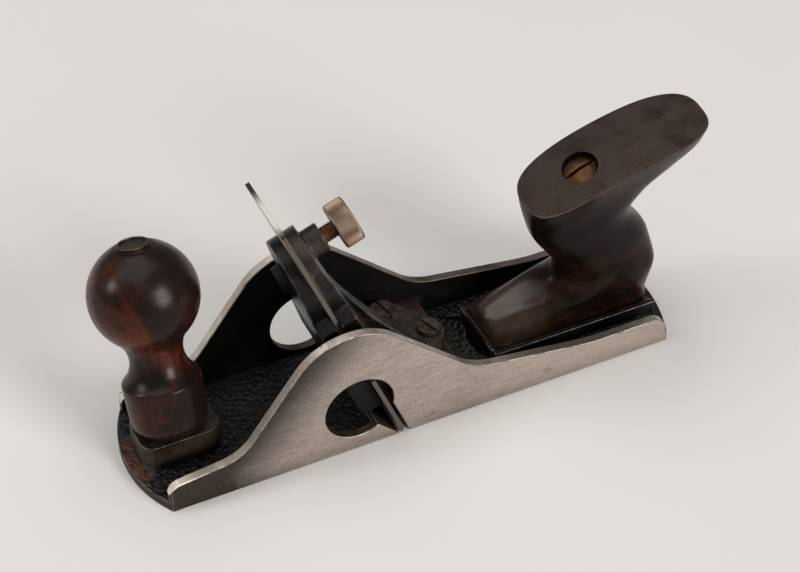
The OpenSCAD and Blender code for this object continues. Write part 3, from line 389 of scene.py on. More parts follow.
def rosewood(name, grain, tint, dull, frame_matrix, seed, flecked=0.6, darker=None, shine=0.16,
             polished=None):
    """Old rosewood. grain stretches the figure, tint holds its dark, middle and red colours, and flecked says
    how strong its red dashes are. darker is a slope along each axis and an offset, which paints shade on one
    side.
    polished holds the heights and the places between which a shine fades out, and its level; there the wood
    is also lightened warm as a painted highlight."""
    look = Look(name, Specular_IOR_Level=shine - 0.06 * dull, Coat_Roughness=0.22)
    look.turned(frame_matrix)
    dark, middle, red = tint
    patch_grain = tuple(0.45 + 0.55 * g for g in grain)
    pore_grain = tuple(0.25 * g if g < 1 else g for g in grain)
    fleck_grain = tuple(0.6 * g if g < 1 else g for g in grain)
    bands = look.noise(0.16, 4, 0.55, grain, seed + 1, 0.5)
    patches = look.noise(0.045, 3, 0.5, patch_grain, seed + 2, 0.3)
    streaks = look.noise(0.9, 4, 0.6, grain, seed + 3, 0.2)
    pores = look.noise(2.6, 3, 0.6, pore_grain, seed + 4)
    smear = look.noise(0.09, 3, 0.5, seed=seed + 5)
    flecks = look.noise(1.5, 3, 0.6, fleck_grain, seed + 6)
    grime_and_shade = look.noise(0.05, 4, 0.6, seed=seed + 8, twist=0.4)
    base = look.mix(look.step(bands, 0.36, 0.62), middle, dark)
    base = look.over(base, red, patches, 0.42, 0.64, look.scaled(bands, 1.0, 0.35))
    base = look.over(base, dark, streaks, 0.5, 0.66, 0.75)
    base = look.over(base, red, flecks, 0.57, 0.68, flecked)
    base = look.over(base, PORE, pores, 0.6, 0.7, 0.55)
    # Painted shade: the slope darkens one side of the piece
    if darker:
        slope = look.add("VectorMath", {0: look.place, 1: darker[:3]}, out=1, operation="DOT_PRODUCT")
        grime_and_shade = look.math("ADD", grime_and_shade, look.math("ADD", slope, darker[3]))
    base = look.over(base, dark, grime_and_shade, 0.46, 0.62, 0.8 - 0.8 * dull)
    if dull:
        base = look.over(base, (0.042, 0.031, 0.026), smear, 0.3, 0.66, 0.75 * dull)
    if polished:
        low, high, front, behind, level = polished
        coat = look.times(look.fade(look.axis("Z"), low, high), look.fade(look.axis("X"), front, behind))
        coat = look.times(coat, look.scaled(look.noise(0.5, 4, 0.7, grain, seed + 9), 0.45, 1.25))
        look.set("Coat Weight", look.times(coat, level))
        # Painted highlight: the wood under the shine is lightened warm
        painted_warm_highlight = look.mix(streaks, (0.07, 0.038, 0.025), (0.03, 0.014, 0.009))
        base = look.mix(look.times(coat, 0.6), base, painted_warm_highlight)
    sunk = look.step(pores, 0.56, 0.7)
    rough = look.plus(look.scaled(smear, 0.17 + 0.29 * dull, 0.34 + 0.38 * dull), look.times(sunk, 0.2))
    height = look.math("SUBTRACT", look.times(streaks, 0.3), look.times(sunk, 0.6))
    return look.finished(base, rough, height, 0.05, 0.45)


KNOB_TINT = ((0.0075, 0.0044, 0.0038), (0.029, 0.0095, 0.005), (0.105, 0.02, 0.0048))
TOTE_TINT = ((0.0032, 0.0019, 0.0016), (0.0066, 0.0031, 0.0024), (0.025, 0.009, 0.005))
TOP_TINT = ((0.012, 0.008, 0.0065), (0.026, 0.0172, 0.0135), (0.05, 0.029, 0.0195))
EDGE_TINT = ((0.025, 0.017, 0.013), (0.085, 0.062, 0.05), (0.11, 0.08, 0.064))
UP_GRAIN, LONG_GRAIN = (1.0, 1.0, 0.28), (0.16, 1.0, 1.0)

japan = japanned_iron("casting_japan", casting_rust)
sandy_japan = japanned_iron("floor_japan", casting_rust, depth=5.0, gloss=0.3, rough=(0.08, 0.2),
                            lumps=(0.6, 0.85))
corner_japan = japanned_iron("corner_japan", None, depth=0.2, gloss=0.6)
clamp_japan = japanned_iron("clamp_japan", clamp_wear, depth=0.45, gloss=0.2, rough=(0.18, 0.4))
bright_edge = worn_edge("bright_edge", (0.13, 0.1, 0.08), (0.6, 0.53, 0.465), 0.6, 1.0, tarnish=True)
# The brown edges' bare colour is worn iron, lightened in part as a painted highlight
brown_edge = worn_edge("brown_edge", (0.012, 0.01, 0.009), (0.17, 0.13, 0.105), 0.55, 0.6)
cheek_iron = machined_iron("cheek_iron")
rim = rim_iron("rim_iron")
cut_iron = dark_cut_iron("cut_iron")
steel = blade_steel("blade_steel")
rusty = rusty_steel("rusty_steel", (0.018, 0.011, 0.008), (0.06, 0.039, 0.028), (0.045, 0.021, 0.011))
rusty_thread = rusty_steel("rusty_thread", (0.05, 0.024, 0.011), (0.13, 0.06, 0.024), (0.16, 0.07, 0.022))
dark_screw = rusty_steel("dark_screw", (0.005, 0.004, 0.0035), (0.018, 0.0125, 0.0095),
                         (0.016, 0.0095, 0.006))
nickel = warm_nickel("warm_nickel")
brass = old_brass("old_brass", (0.105, 0.05, 0.021), (0.04, 0.019, 0.009))
brass_rim = old_brass("brass_rim", (0.2, 0.14, 0.08), (0.09, 0.06, 0.035))
brass_dull = old_brass("dull_brass", (0.06, 0.04, 0.026), (0.03, 0.02, 0.014))
# The knob is darkened towards the heel, the near side and the top as painted shade
knob_wood = rosewood("knob_rosewood", UP_GRAIN, KNOB_TINT, 0.0, KNOB_FRAME, 3.0, flecked=0.2,
                     darker=(0.018, -0.009, 0.002, -0.13))
handle_wood = rosewood("handle_rosewood", LONG_GRAIN, TOTE_TINT, 0.0, TOTE_FRAME, 5.0, shine=0.09,
                       polished=(19.0, 30.0, 44.0, 60.0, 0.8))
handle_top_wood = rosewood("handle_top_rosewood", LONG_GRAIN, TOP_TINT, 1.0, TOTE_FRAME, 5.0)
handle_edge_wood = rosewood("handle_edge_rosewood", LONG_GRAIN, EDGE_TINT, 0.4, TOTE_FRAME, 7.0)


def shade(mesh, angle):
    """Smooth shading, with edges sharper than the angle left sharp."""
    mesh.shade_smooth()
    mesh.set_sharp_from_angle(angle=math.radians(angle))


def add_piece(name, mesh, body, slot, materials, *replaced):
    """Adds a mesh as a piece that rides on a body and stands for CAD nodes."""
    for material in materials:
        mesh.materials.append(material)
    piece = bpy.data.objects.new(name, mesh)
    scene.collection.objects.link(piece)
    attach(piece, body)
    if replaced:
        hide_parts(*replaced)
    return piece


# Largest turn in a flat, least turns of an eased edge and a filled corner, and that corner's least length
FLAT_ANGLE, EDGE_ANGLE, FILL_ANGLE, FILL_LENGTH = 0.5, 32.0, 60.0, 6.0


def cad_copy(node):
    """The node's surface with its faces joined and its flats made whole."""
    bm = bmesh.new()
    bm.from_mesh(nodes[node].data)
    bmesh.ops.remove_doubles(bm, verts=bm.verts, dist=WELD)
    bmesh.ops.dissolve_limit(bm, angle_limit=math.radians(FLAT_ANGLE), verts=bm.verts, edges=bm.edges)
    return bm


def to_mesh(bm, name):
    """Turns a bmesh into a mesh and frees it."""
    mesh = bpy.data.meshes.new(name)
    bm.normal_update()
    bm.to_mesh(mesh)
    bm.free()
    return mesh


def applied(obj):
    """Mesh of an object with its modifiers applied."""
    bpy.context.view_layer.update()
    return bpy.data.meshes.new_from_object(obj.evaluated_get(bpy.context.evaluated_depsgraph_get()))


def weld(mesh):
    """Joins the doubled points of a closed mesh and takes out faces without area and flaps."""
    bm = bmesh.new()
    bm.from_mesh(mesh)
    bmesh.ops.remove_doubles(bm, verts=bm.verts, dist=WELD)
    bmesh.ops.dissolve_degenerate(bm, edges=bm.edges, dist=WELD)
    flaps = [face for face in bm.faces if any(len(e.link_faces) == 1 for e in face.edges)]
    bmesh.ops.delete(bm, geom=flaps, context="FACES")
    bm.to_mesh(mesh)
    bm.free()


def in_spot(edge, spots):
    """Whether an edge lies whole in one of the spots (x, y, z, reach), on either side of the part."""
    ends = [Vector((v.co.x, abs(v.co.y), v.co.z)) / MM for v in edge.verts]
    return any(all((end - Vector(spot[:3])).length < spot[3] for end in ends) for spot in spots)


def eased(node, name, body, slot, materials, width, paint=None, edge_look=None, fillet=0.0, corner=-1,
          tight=()):
    """A CAD node's piece with its outer edges eased by width and its inner corners filled if fillet is given.
    paint gives a face's material index, edge_look an eased edge's, and corner is that of the filled corners.
    Edges in the tight spots stay sharp, and all others then get the full width."""
    bm = cad_copy(node)
    if paint:
        for face in bm.faces:
            face.material_index = paint(face)
    looks = {}
    for e in bm.edges:
        if len(e.link_faces) == 2:
            turn = e.calc_face_angle_signed(0)
            if tight and (in_spot(e, tight) or e.calc_length() < width * MM):
                continue
            if turn > math.radians(EDGE_ANGLE):
                looks[e.index] = edge_look(e) if edge_look else -1
            elif fillet and turn < -math.radians(FILL_ANGLE) and e.calc_length() > FILL_LENGTH * MM:
                looks[e.index] = "fillet"
    groups = sorted(set(looks.values()), key=lambda group: (group != "fillet", str(group)))
    for group in groups:
        layer = bm.edges.layers.float.new(f"ease_{group}")
        bm.edges.ensure_lookup_table()
        for index, value in looks.items():
            if value == group:
                bm.edges[index][layer] = 1.0
    mesh = to_mesh(bm, name)
    shade(mesh, EDGE_ANGLE)
    piece = add_piece(name, mesh, body, slot, materials, node)
    for group in groups:
        bevel = piece.modifiers.new(f"ease_{group}", "BEVEL")
        bevel.limit_method, bevel.edge_weight = "WEIGHT", f"ease_{group}"
        filled = group == "fillet"
        bevel.width, bevel.segments = (fillet if filled else width) * MM, 3 if filled else 2
        bevel.material = corner if filled else group
        bevel.use_clamp_overlap = filled or not tight
        bevel.harden_normals = not filled
    if tight:
        mesh = applied(piece)
        piece.modifiers.clear()
        weld(mesh)
        piece.data = mesh
        cut = piece.modifiers.new("triangles", "TRIANGULATE")
        cut.ngon_method = "BEAUTY"
        cut.keep_custom_normals = True


def softened(node, name, body, slot, material, voxel, passes):
    """A casting: the CAD node with every edge and corner rounded."""
    piece = add_piece(name, to_mesh(cad_copy(node), name), body, slot, [material], node)
    remesh = piece.modifiers.new("cast", "REMESH")
    remesh.mode = "VOXEL"
    remesh.voxel_size = voxel * MM
    smooth = piece.modifiers.new("soften", "SMOOTH")
    smooth.factor = 0.5
    smooth.iterations = passes
    mesh = applied(piece)
    piece.modifiers.clear()
    piece.data = mesh
    mesh.shade_smooth()
    mark_standing_out(mesh, voxel * MM)


BLUR_PASSES, EDGE_GAIN = 3, 7


def mark_standing_out(mesh, spacing):
    """Stores how far each point stands out from its neighbours or is set in: near 1 on edges, 0 on flats."""

    def table(items, name, width, kind):
        values = np.zeros(len(items) * width, kind)
        items.foreach_get(name, values)
        return values.reshape(-1, width)

    co, normals = (table(mesh.vertices, name, 3, float) for name in ("co", "normal"))
    a, b = table(mesh.edges, "vertices", 2, int).T
    count = np.bincount(np.concatenate([a, b]), minlength=len(co))[:, None]

    def neighbours(values):
        total = np.zeros_like(values)
        np.add.at(total, a, values[b])
        np.add.at(total, b, values[a])
        return total / np.maximum(count, 1)

    out = -np.einsum("ij,ij->i", neighbours(co) - co, normals)[:, None] / spacing
    for _ in range(BLUR_PASSES):
        out = (out + neighbours(out)) / 2
    for name, gain in (("stand_out", EDGE_GAIN), ("set_in", -EDGE_GAIN)):
        layer = mesh.attributes.new(name, "FLOAT", "POINT")
        layer.data.foreach_set("value", np.clip(out[:, 0] * gain, 0, 1).astype(np.float32))


def grid_mesh(points, wrap_rows=False):
    """Mesh of a grid, points[row][column], closed along each row and, with wrap_rows, across the rows."""
    rows, columns = points.shape[:2]
    bm = bmesh.new()
    verts = [[bm.verts.new(p) for p in row] for row in points]
    for i in range(rows if wrap_rows else rows - 1):
        j = (i + 1) % rows
        for k in range(columns):
            n = (k + 1) % columns
            bm.faces.new((verts[i][k], verts[i][n], verts[j][n], verts[j][k]))
    bmesh.ops.remove_doubles(bm, verts=bm.verts, dist=GRID_WELD)
    bmesh.ops.dissolve_degenerate(bm, edges=bm.edges, dist=GRID_SLIVER)
    bmesh.ops.recalc_face_normals(bm, faces=bm.faces)
    return bm


def round_grid(radius, height, steps):
    """Points about Z, from a column of heights and a radius for each row or each point."""
    turn = np.linspace(0, 2 * math.pi, steps, endpoint=False)
    return np.stack(np.broadcast_arrays(radius * np.cos(turn), radius * np.sin(turn), height), -1)


def lathe(profile, steps):
    """Points of a profile of (radius, height) pairs turned about Z."""
    profile = np.array(profile, float)
    return round_grid(profile[:, :1], profile[:, 1:], steps)


def arc(centre, radius, start, end, steps):
    """Points on a circle from one angle to another."""
    return [(centre[0] + radius * math.cos(a), centre[1] + radius * math.sin(a))
            for a in np.linspace(start, end, steps)]


def moved(bm, matrix):
    bmesh.ops.transform(bm, matrix=matrix, verts=bm.verts)
    return bm


def fork_hollow(fork, axis_height, seat, matrix):
    """Cutter for the hollow that clears a seat's fork."""
    place, reach, low = fork
    outline = arc((0, 0), FORK_TOP, 0, math.pi, 25)
    outline += [(-low, -0.8 * seat), (-low, -2 * seat), (low, -2 * seat), (low, -0.8 * seat)]
    bm = bmesh.new()
    ends = [[bm.verts.new((x, y, axis_height + z)) for y, z in outline]
            for x in (place - reach, place + reach)]
    bm.faces.new(ends[0])
    bm.faces.new(ends[1])
    for k in range(len(outline)):
        n = (k + 1) % len(outline)
        bm.faces.new((ends[0][k], ends[0][n], ends[1][n], ends[1][k]))
    bmesh.ops.recalc_face_normals(bm, faces=bm.faces)
    return moved(bm, TO_METRES @ matrix)


def carved(bm, cutters, name):
    """Mesh of bm with the cutters taken out of it."""
    objects = []
    for i, part in enumerate([bm, *cutters]):
        obj = bpy.data.objects.new(f"{name}_{i}", to_mesh(part, f"{name}_{i}"))
        scene.collection.objects.link(obj)
        objects.append(obj)
    for cutter in objects[1:]:
        cut = objects[0].modifiers.new("cut", "BOOLEAN")
        cut.operation, cut.solver, cut.object = "DIFFERENCE", "EXACT", cutter
    result = applied(objects[0])
    result.name = name
    for obj in objects:
        bpy.data.objects.remove(obj)
    weld(result)
    return result


# Body casting
JAPAN_FACE, CHEEK_FACE, RIM_FACE, CUT_FACE, FLOOR_FACE, BRIGHT_EDGE, BROWN_EDGE, CORNER_FACE = range(8)

# Distance that counts as touching, share of a normal as facing one way, and the mouth and both ends
NEAR, SQUARE = 0.05, 0.9
MOUTH_FRONT, MOUTH_REAR, MOUTH_TOP = -22.0, -2.0, 8.5
CHEEK_ENDS, END_EDGES, END_FACES, END_TOP = 92.0, 90.0, 89.9, FLOOR + 6.0
# Spots (x, y, z, reach) on the toe, the clamp's bed and the handle's fork with edges too close to be eased
TIGHT_SPOTS = ((-94.6, 24.8, 8.4, 2.0), (0.6, 13.0, 11.0, 1.5), (9.5, 0.0, 11.0, 1.5), (29.0, 0.0, 4.0, 1.0),
               (30.7, 6.6, 8.8, 2.3), (72.28, 0.0, 20.0, 3.2))


def casting_face(face):
    """Which finish a face of the casting has."""
    c, n = face.calc_center_median() / MM, face.normal
    outside = abs(c.y) > HALF_WIDTH - NEAR and abs(n.y) > SQUARE
    sole = c.z < NEAR and n.z < -SQUARE
    if outside or sole:
        return CHEEK_FACE
    in_port = math.hypot(c.x - PORT_PLACE, c.z - PORT_HEIGHT) < PORT_RADIUS + 0.4 and abs(n.y) < 0.5
    in_mouth = MOUTH_FRONT < c.x < MOUTH_REAR and c.z < MOUTH_TOP and abs(n.y) < 0.3 and n.z < SQUARE
    if in_port or in_mouth:
        return CUT_FACE
    upright_end = abs(n.z) < 0.15 and abs(c.x) > CHEEK_ENDS
    on_cheek = abs(c.y) > HALF_WIDTH - CHEEK - NEAR and c.z > FLOOR + 0.3
    if on_cheek and abs(n.y) < SQUARE and not upright_end:
        return RIM_FACE
    if abs(c.x) > END_FACES and c.z < END_TOP and abs(n.z) < 0.3 and n.x * c.x > 0:
        return CUT_FACE
    if n.z > SQUARE and abs(c.z - FLOOR) < 0.1:
        return FLOOR_FACE
    return JAPAN_FACE


def casting_edge(e):
    """Which finish an eased edge has: rubbed bright along the cheeks, brown elsewhere and at both ends."""
    start, end = (v.co / MM for v in e.verts)
    upright = abs(start.z - end.z) > abs(start.x - end.x) + abs(start.y - end.y)
    on_cheek = any(f.material_index in (CHEEK_FACE, RIM_FACE) for f in e.link_faces)
    at_end = upright and abs(start.x) > END_EDGES
    return BRIGHT_EDGE if on_cheek and not at_end else BROWN_EDGE


eased("body_casting", "casting", "base", "body_iron",
      [japan, cheek_iron, rim, cut_iron, sandy_japan, bright_edge, brown_edge, corner_japan], width=0.3,
      paint=casting_face, edge_look=casting_edge, fillet=1.0, corner=CORNER_FACE, tight=TIGHT_SPOTS)

# Blade, clamp, screws and thumbscrew
eased("scraper_blade", "blade", "blade", "blade_steel", [steel], width=0.14)
for node, name in (("frog", "frog_casting"), ("blade_cap", "cap_casting")):
    softened(node, name, "base", "clamp_iron", clamp_japan, voxel=0.38, passes=5)
eased("cap_screw", "cap_screw_eased", "base", "screw_steel", [dark_screw], width=0.3)
for screw in ("frog_screw_right", "frog_screw_left", "frog_screw_rear"):
    eased(screw, screw + "_eased", "base", "screw_steel", [rusty], width=0.3)

THREAD_DEPTH, THREAD_PITCH = 0.42, 1.0


def thread_points(start, end, radius, depth, pitch, turn_steps=48, pitch_steps=8, lead=0.6):
    """Grid of a rod along Z whose thread runs out over a lead at both ends."""
    heights = np.arange(start, end + 1e-6, pitch / pitch_steps)
    phase = (heights[:, None] / pitch - np.arange(turn_steps) / turn_steps) % 1.0
    wave = np.abs(2 * phase - 1)
    ends = np.clip(np.minimum(heights - start, end - heights) / lead, 0, 1)[:, None]
    r = np.pad(radius - depth * (1 - wave * ends), ((1, 1), (0, 0)))
    return round_grid(r, np.pad(heights, 1, "edge")[:, None], turn_steps)


thumb_matrix = (TO_METRES @ BLADE_FRAME @ Matrix.Translation((0, 0, THUMB_HEIGHT))
                @ Matrix.Rotation(math.radians(90), 4, "Y"))
thread = thread_points(SHANK_START, SHANK_END, SHANK_RADIUS, THREAD_DEPTH, THREAD_PITCH)
shank_mesh = to_mesh(moved(grid_mesh(thread), thumb_matrix), "thumb_thread")
shade(shank_mesh, 50)
add_piece("thumb_thread", shank_mesh, "thumb_shank", "screw_steel", [rusty_thread], "thumbscrew_shank")


def knurled_points(radius, depth, grooves, profile, per_groove=6):
    """Grid of a knurled wheel about Z. profile holds (radius share, height, knurl share) rows."""
    steps = grooves * per_groove
    wave = np.abs(((np.arange(steps) / per_groove) % 1.0) * 2 - 1)
    share, height, knurl = np.array(profile, float).T[..., None]
    return round_grid(radius * share - depth * knurl * wave, height, steps)


HEAD_RADIUS, HEAD_OUTER = THUMB_DIAMETER / 2, THUMB_INNER + THUMB_DEPTH
HEAD_BORE, BORE_END, BORE_EASE = (SHANK_RADIUS + 0.05) / HEAD_RADIUS, THUMB_INNER + 5.05, (0.03, 0.25)
KNURL_DEPTH, KNURLS = 0.26, 84
# Rows of the head's rim: share of the radius, depth from the end face, share of the knurl
HEAD_RIM = ((0.9, 0.0, 0), (0.955, 0.12, 0), (0.985, 0.5, 0.25), (1.0, 0.8, 1))
head_profile = [(0.0, BORE_END, 0), (HEAD_BORE, BORE_END, 0), (HEAD_BORE, THUMB_INNER + BORE_EASE[1], 0),
                (HEAD_BORE + BORE_EASE[0], THUMB_INNER, 0)]
head_profile += [(share, THUMB_INNER + depth, knurl) for share, depth, knurl in HEAD_RIM]
head_profile += [(share, HEAD_OUTER - depth, knurl) for share, depth, knurl in reversed(HEAD_RIM)]
head_profile += [(share, HEAD_OUTER, 0) for share in (0.6, 0.3, 0.0)]
head = grid_mesh(knurled_points(HEAD_RADIUS, KNURL_DEPTH, KNURLS, head_profile))
head_mesh = to_mesh(moved(head, thumb_matrix), "thumb_wheel")
shade(head_mesh, 30)
add_piece("thumb_wheel", head_mesh, "thumb_head", "thumb_nickel", [nickel], "thumbscrew_head")

# Front knob: offsets (radius, height) that round its foot's edge, its shoulder and its flat's edge
FOOT_EASE = ((-0.12, 0.02), (0.0, 0.45))
SHOULDER_EASE = ((0.0, -0.45), (-0.07, -0.15), (-0.26, 0.1))
FLAT_EASE = ((0.12, -0.12), (-0.3, 0.0))
SEAT_EASE, NECK_EASE = 0.03, 0.5


def shifted(radius, height, offsets):
    return [(radius + r, height + h) for r, h in offsets]


def knob_outline():
    """Profile of (radius, height) pairs: up the seat and side, over the ball to the flat, down the bore."""
    ball_radius, ball_height = KNOB_BALL
    neck_radius, neck_height = KNOB_NECK
    shoulder_radius, shoulder_height = KNOB_SHOULDER
    barrel_radius, barrel_depth = KNOB_BARREL
    rise = ball_height - neck_height
    hollow = (neck_radius ** 2 + rise ** 2 - ball_radius ** 2) / (2 * (ball_radius - neck_radius))
    middle = neck_radius + hollow
    shoulder_top = neck_height - math.sqrt(hollow ** 2 - (middle - shoulder_radius) ** 2)
    flat_radius = math.sqrt(ball_radius ** 2 - (KNOB_FLAT - ball_height) ** 2)
    seat_end = -math.asin((KNOB_AXIS - KNOB_EDGE) / KNOB_SEAT)
    foot = shifted(KNOB_SEAT * math.cos(seat_end), KNOB_EDGE, FOOT_EASE)
    shoulder = shifted(shoulder_radius, shoulder_top, SHOULDER_EASE)
    side = np.array([foot[1], (shoulder_radius, shoulder_height), shoulder[0]])
    neck_start = math.pi + math.acos((middle - shoulder_radius + NECK_EASE) / hollow)
    to_ball = math.atan2(rise, middle)
    ball_end = math.atan2(KNOB_FLAT - ball_height, flat_radius)
    bore_end = KNOB_FLAT - barrel_depth
    profile = arc((0, KNOB_AXIS), KNOB_SEAT, -math.acos(KNOB_HOLE / KNOB_SEAT), seat_end - SEAT_EASE, 14)
    profile += foot[:1]
    for low, high in zip(side[:-1], side[1:]):
        profile += [tuple(low + (high - low) * t) for t in np.linspace(0, 1, 5, endpoint=False)]
    profile += shoulder
    profile += arc((middle, neck_height), hollow, neck_start, math.pi - to_ball, 24)
    profile += arc((0, ball_height), ball_radius, -to_ball, ball_end, 44)[1:-1]
    profile += shifted(flat_radius, KNOB_FLAT, FLAT_EASE)
    return profile + [(barrel_radius, KNOB_FLAT), (barrel_radius, bore_end), (KNOB_HOLE, bore_end)]


knob_bm = moved(grid_mesh(lathe(knob_outline(), 128), wrap_rows=True), TO_METRES @ KNOB_FRAME)
knob_mesh = carved(knob_bm, [fork_hollow(KNOB_FORK, KNOB_AXIS, KNOB_SEAT, KNOB_FRAME)], "knob")
shade(knob_mesh, 28)
add_piece("knob", knob_mesh, "knob", "knob_wood", [knob_wood], "front_knob")
eased("knob_washer", "knob_ring", "knob", "old_brass", [brass_dull], width=0.12)
eased("knob_nut", "knob_disc", "knob_top_nut", "old_brass", [brass_dull, brass_rim], width=0.16,
      edge_look=lambda e: 1)


# Rear handle: where its section starts to change, going up, and over what height
FRONT_ROUNDS, MIDDLE_SHIFTS, WAIST_STARTS = (8.0, 8.0), (18.6, 16.0), (18.6, 20.0)
REAR_ROUNDS, GRIP_STARTS, CROWN_STARTS = (19.0, 20.0), (28.0, 10.0), (56.0, 14.0)
# The foot is smoother below FOOT_TOP and behind FOOT_END, each with the length of its fading
FOOT_TOP, FOOT_END = (26.0, 6.0), (35.5, 5.0)
# Heights that hold the foot's and the crown's edges, and the middle lines of the top and the seat
FOOT_HEIGHTS, CROWN_HEIGHTS = (3.0, 14.0), (60.0, 95.0)
TOP_SPAN, SEAT_SPAN = (56.0, 99.0), (46.0, 90.0)


def outline_at(line, z):
    """Place of a smooth outline at heights z, with slopes as in the part's source."""
    line = np.array(line, float)
    rise = np.diff(line[:, 0]) / np.diff(line[:, 1])
    slope = np.zeros(len(line))
    for i in range(1, len(line) - 1):
        a, b = rise[i - 1], rise[i]
        slope[i] = 0 if a * b <= 0 else 2 * a * b / (a + b)
    i = np.clip(np.searchsorted(line[:, 1], z, side="left") - 1, 0, len(line) - 2)
    h = line[i + 1, 1] - line[i, 1]
    t = (z - line[i, 1]) / h
    return ((1 + 2 * t) * (1 - t) ** 2 * line[i, 0] + t * (1 - t) ** 2 * h * slope[i]
            + t * t * (3 - 2 * t) * line[i + 1, 0] + t * t * (t - 1) * h * slope[i + 1])


def blend(z, start, length):
    """0 up to start, 1 beyond start + length, smooth between."""
    t = np.clip((z - start) / length, 0, 1)
    return t * t * (3 - 2 * t)


CROWN_CENTRE = (CROWN_SCREW[0] + CROWN_RADIUS * math.sin(math.radians(CROWN_SLOPE)),
                CROWN_SCREW[1] - CROWN_RADIUS * math.cos(math.radians(CROWN_SLOPE)))


def crown_at(x):
    """Height of the handle's curved top at places x."""
    return CROWN_CENTRE[1] + np.sqrt(CROWN_RADIUS ** 2 - (x - CROWN_CENTRE[0]) ** 2)


def handle_point(angle, z):
    """Place on the handle's skin at an angle round its section and a height."""
    front, rear = outline_at(FRONT_LINE, z), outline_at(REAR_LINE, z)
    middle = front + (rear - front) * (0.62 - 0.12 * blend(z, *MIDDLE_SHIFTS))
    crowned = 0.6 * blend(z, *CROWN_STARTS)
    front_power = 6 - 3.9 * blend(z, *FRONT_ROUNDS) + 0.3 * blend(z, *GRIP_STARTS) + crowned
    rear_power = 3.2 - 0.8 * blend(z, *REAR_ROUNDS) + crowned
    c, s = np.cos(angle), np.sin(angle)
    power = np.where(c < 0, front_power, rear_power)
    reach = np.where(c < 0, middle - front, rear - middle)
    x = middle + np.sign(c) * reach * np.abs(c) ** (2 / power)
    flare = 1 - np.clip((crown_at(x) - z) / FLARE_DEPTH, 0, 1)
    low = HALF_FOOT + (HALF_WAIST - HALF_FOOT) * blend(z, *WAIST_STARTS)
    half = low + (HALF_TOP - low) * flare ** 1.6
    return x, np.sign(s) * half * np.abs(s) ** (2 / power)


def even_turns(columns, low=2.0, high=100.0, step=0.25, samples=900):
    """Angles that space the columns evenly round the handle, as a function of a height for each column."""
    tight = np.linspace(-1, 1, samples) ** 3
    turn = np.unique(np.concatenate([np.linspace(0, math.pi, samples), np.arccos(-tight)]))
    share = (np.arange(columns // 2) + 0.5) / (columns // 2)
    table = []
    for z in np.arange(low, high + step / 2, step):
        x, y = handle_point(turn, np.full(turn.shape, z))
        length = np.concatenate([[0], np.cumsum(np.hypot(np.diff(x), np.diff(y)))])
        left = np.interp(share * length[-1], length, turn)
        table.append(np.concatenate([left, 2 * math.pi - left[::-1]]))
    table = np.array(table)

    def turns(z):
        place = np.clip((z - low) / step, 0, len(table) - 1.001)
        i, k = place.astype(int), np.arange(columns)
        return table[i, k] + (table[i + 1, k] - table[i, k]) * (place - i)

    return turns


def solve(columns, low, high, gap):
    """Heights, one for each column, at which gap(z) turns from negative to positive."""
    low, high = np.full(columns, low), np.full(columns, high)
    for _ in range(48):
        middle = (low + high) / 2
        above = gap(middle) > 0
        high, low = np.where(above, middle, high), np.where(above, low, middle)
    return (low + high) / 2


def seat_height(y):
    """Height of the handle's round seat at places y."""
    return TOTE_AXIS - np.sqrt(TOTE_SEAT ** 2 - y ** 2)


def handle_rows(columns=128, rows=110, fine=500, ease=0.6, rings=12, smoothing=14, foot_smoothing=64):
    """Grid of the handle from its seat up its sides and over the rounded rim to its top."""
    turns = even_turns(columns)
    foot = solve(columns, *FOOT_HEIGHTS, lambda z: z - seat_height(handle_point(turns(z), z)[1]))
    crown = solve(columns, *CROWN_HEIGHTS, lambda z: z - crown_at(handle_point(turns(z), z)[0]))
    share = np.linspace(0, 1, fine)[:, None]
    z = foot + (crown - foot) * share
    x, y = handle_point(turns(z), z)
    skin = np.stack([x, y, z], -1)
    steps = np.linalg.norm(np.diff(skin, axis=0), axis=-1)
    length = np.concatenate([np.zeros((1, columns)), np.cumsum(steps, 0)])
    sides = np.zeros((rows, columns, 3))
    for k in range(columns):
        stops = np.concatenate([np.linspace(0, length[-1, k] - ease, rows - 1), [length[-1, k]]])
        for axis in range(3):
            sides[:, k, axis] = np.interp(stops, length[:, k], skin[:, k, axis])
    inner = sides[1:-2]
    foot_share = np.clip((FOOT_TOP[0] - inner[..., 2:]) / FOOT_TOP[1], 0, 1)
    foot_share = foot_share * np.clip((inner[..., :1] - FOOT_END[0]) / FOOT_END[1], 0, 1)
    for turn in range(foot_smoothing):
        around = (np.roll(sides, 1, 1) + np.roll(sides, -1, 1))[1:-2] + sides[:-3] + sides[2:-1]
        sides[1:-2] += 0.5 * (around / 4 - sides[1:-2]) * (1 if turn < smoothing else foot_share)
    rim_points, below = sides[-1], sides[-2]

    def ring_rows(start, span, height):
        t = np.linspace(0, 1, rings + 1)[:, None]
        px = start[:, 0] + (np.clip(start[:, 0], *span) - start[:, 0]) * t
        py = start[:, 1] * (1 - t)
        return np.stack([px, py, height(px, py)], -1)

    inward = np.stack([np.clip(rim_points[:, 0], *TOP_SPAN) - rim_points[:, 0], -rim_points[:, 1]], -1)
    on_top = rim_points[:, :2] + inward / np.linalg.norm(inward, axis=-1, keepdims=True) * ease
    on_top = np.stack([on_top[:, 0], on_top[:, 1], crown_at(on_top[:, 0])], -1)
    fillet = [(1 - t) ** 2 * below + 2 * t * (1 - t) * rim_points + t * t * on_top
              for t in (0.2, 0.4, 0.6, 0.8)]
    top_rows = ring_rows(on_top, TOP_SPAN, lambda px, py: crown_at(px))
    seat_rows = ring_rows(sides[0], SEAT_SPAN, lambda px, py: seat_height(py))[::-1]
    return np.concatenate([seat_rows[:-1], sides[:-1], np.array(fillet), top_rows])


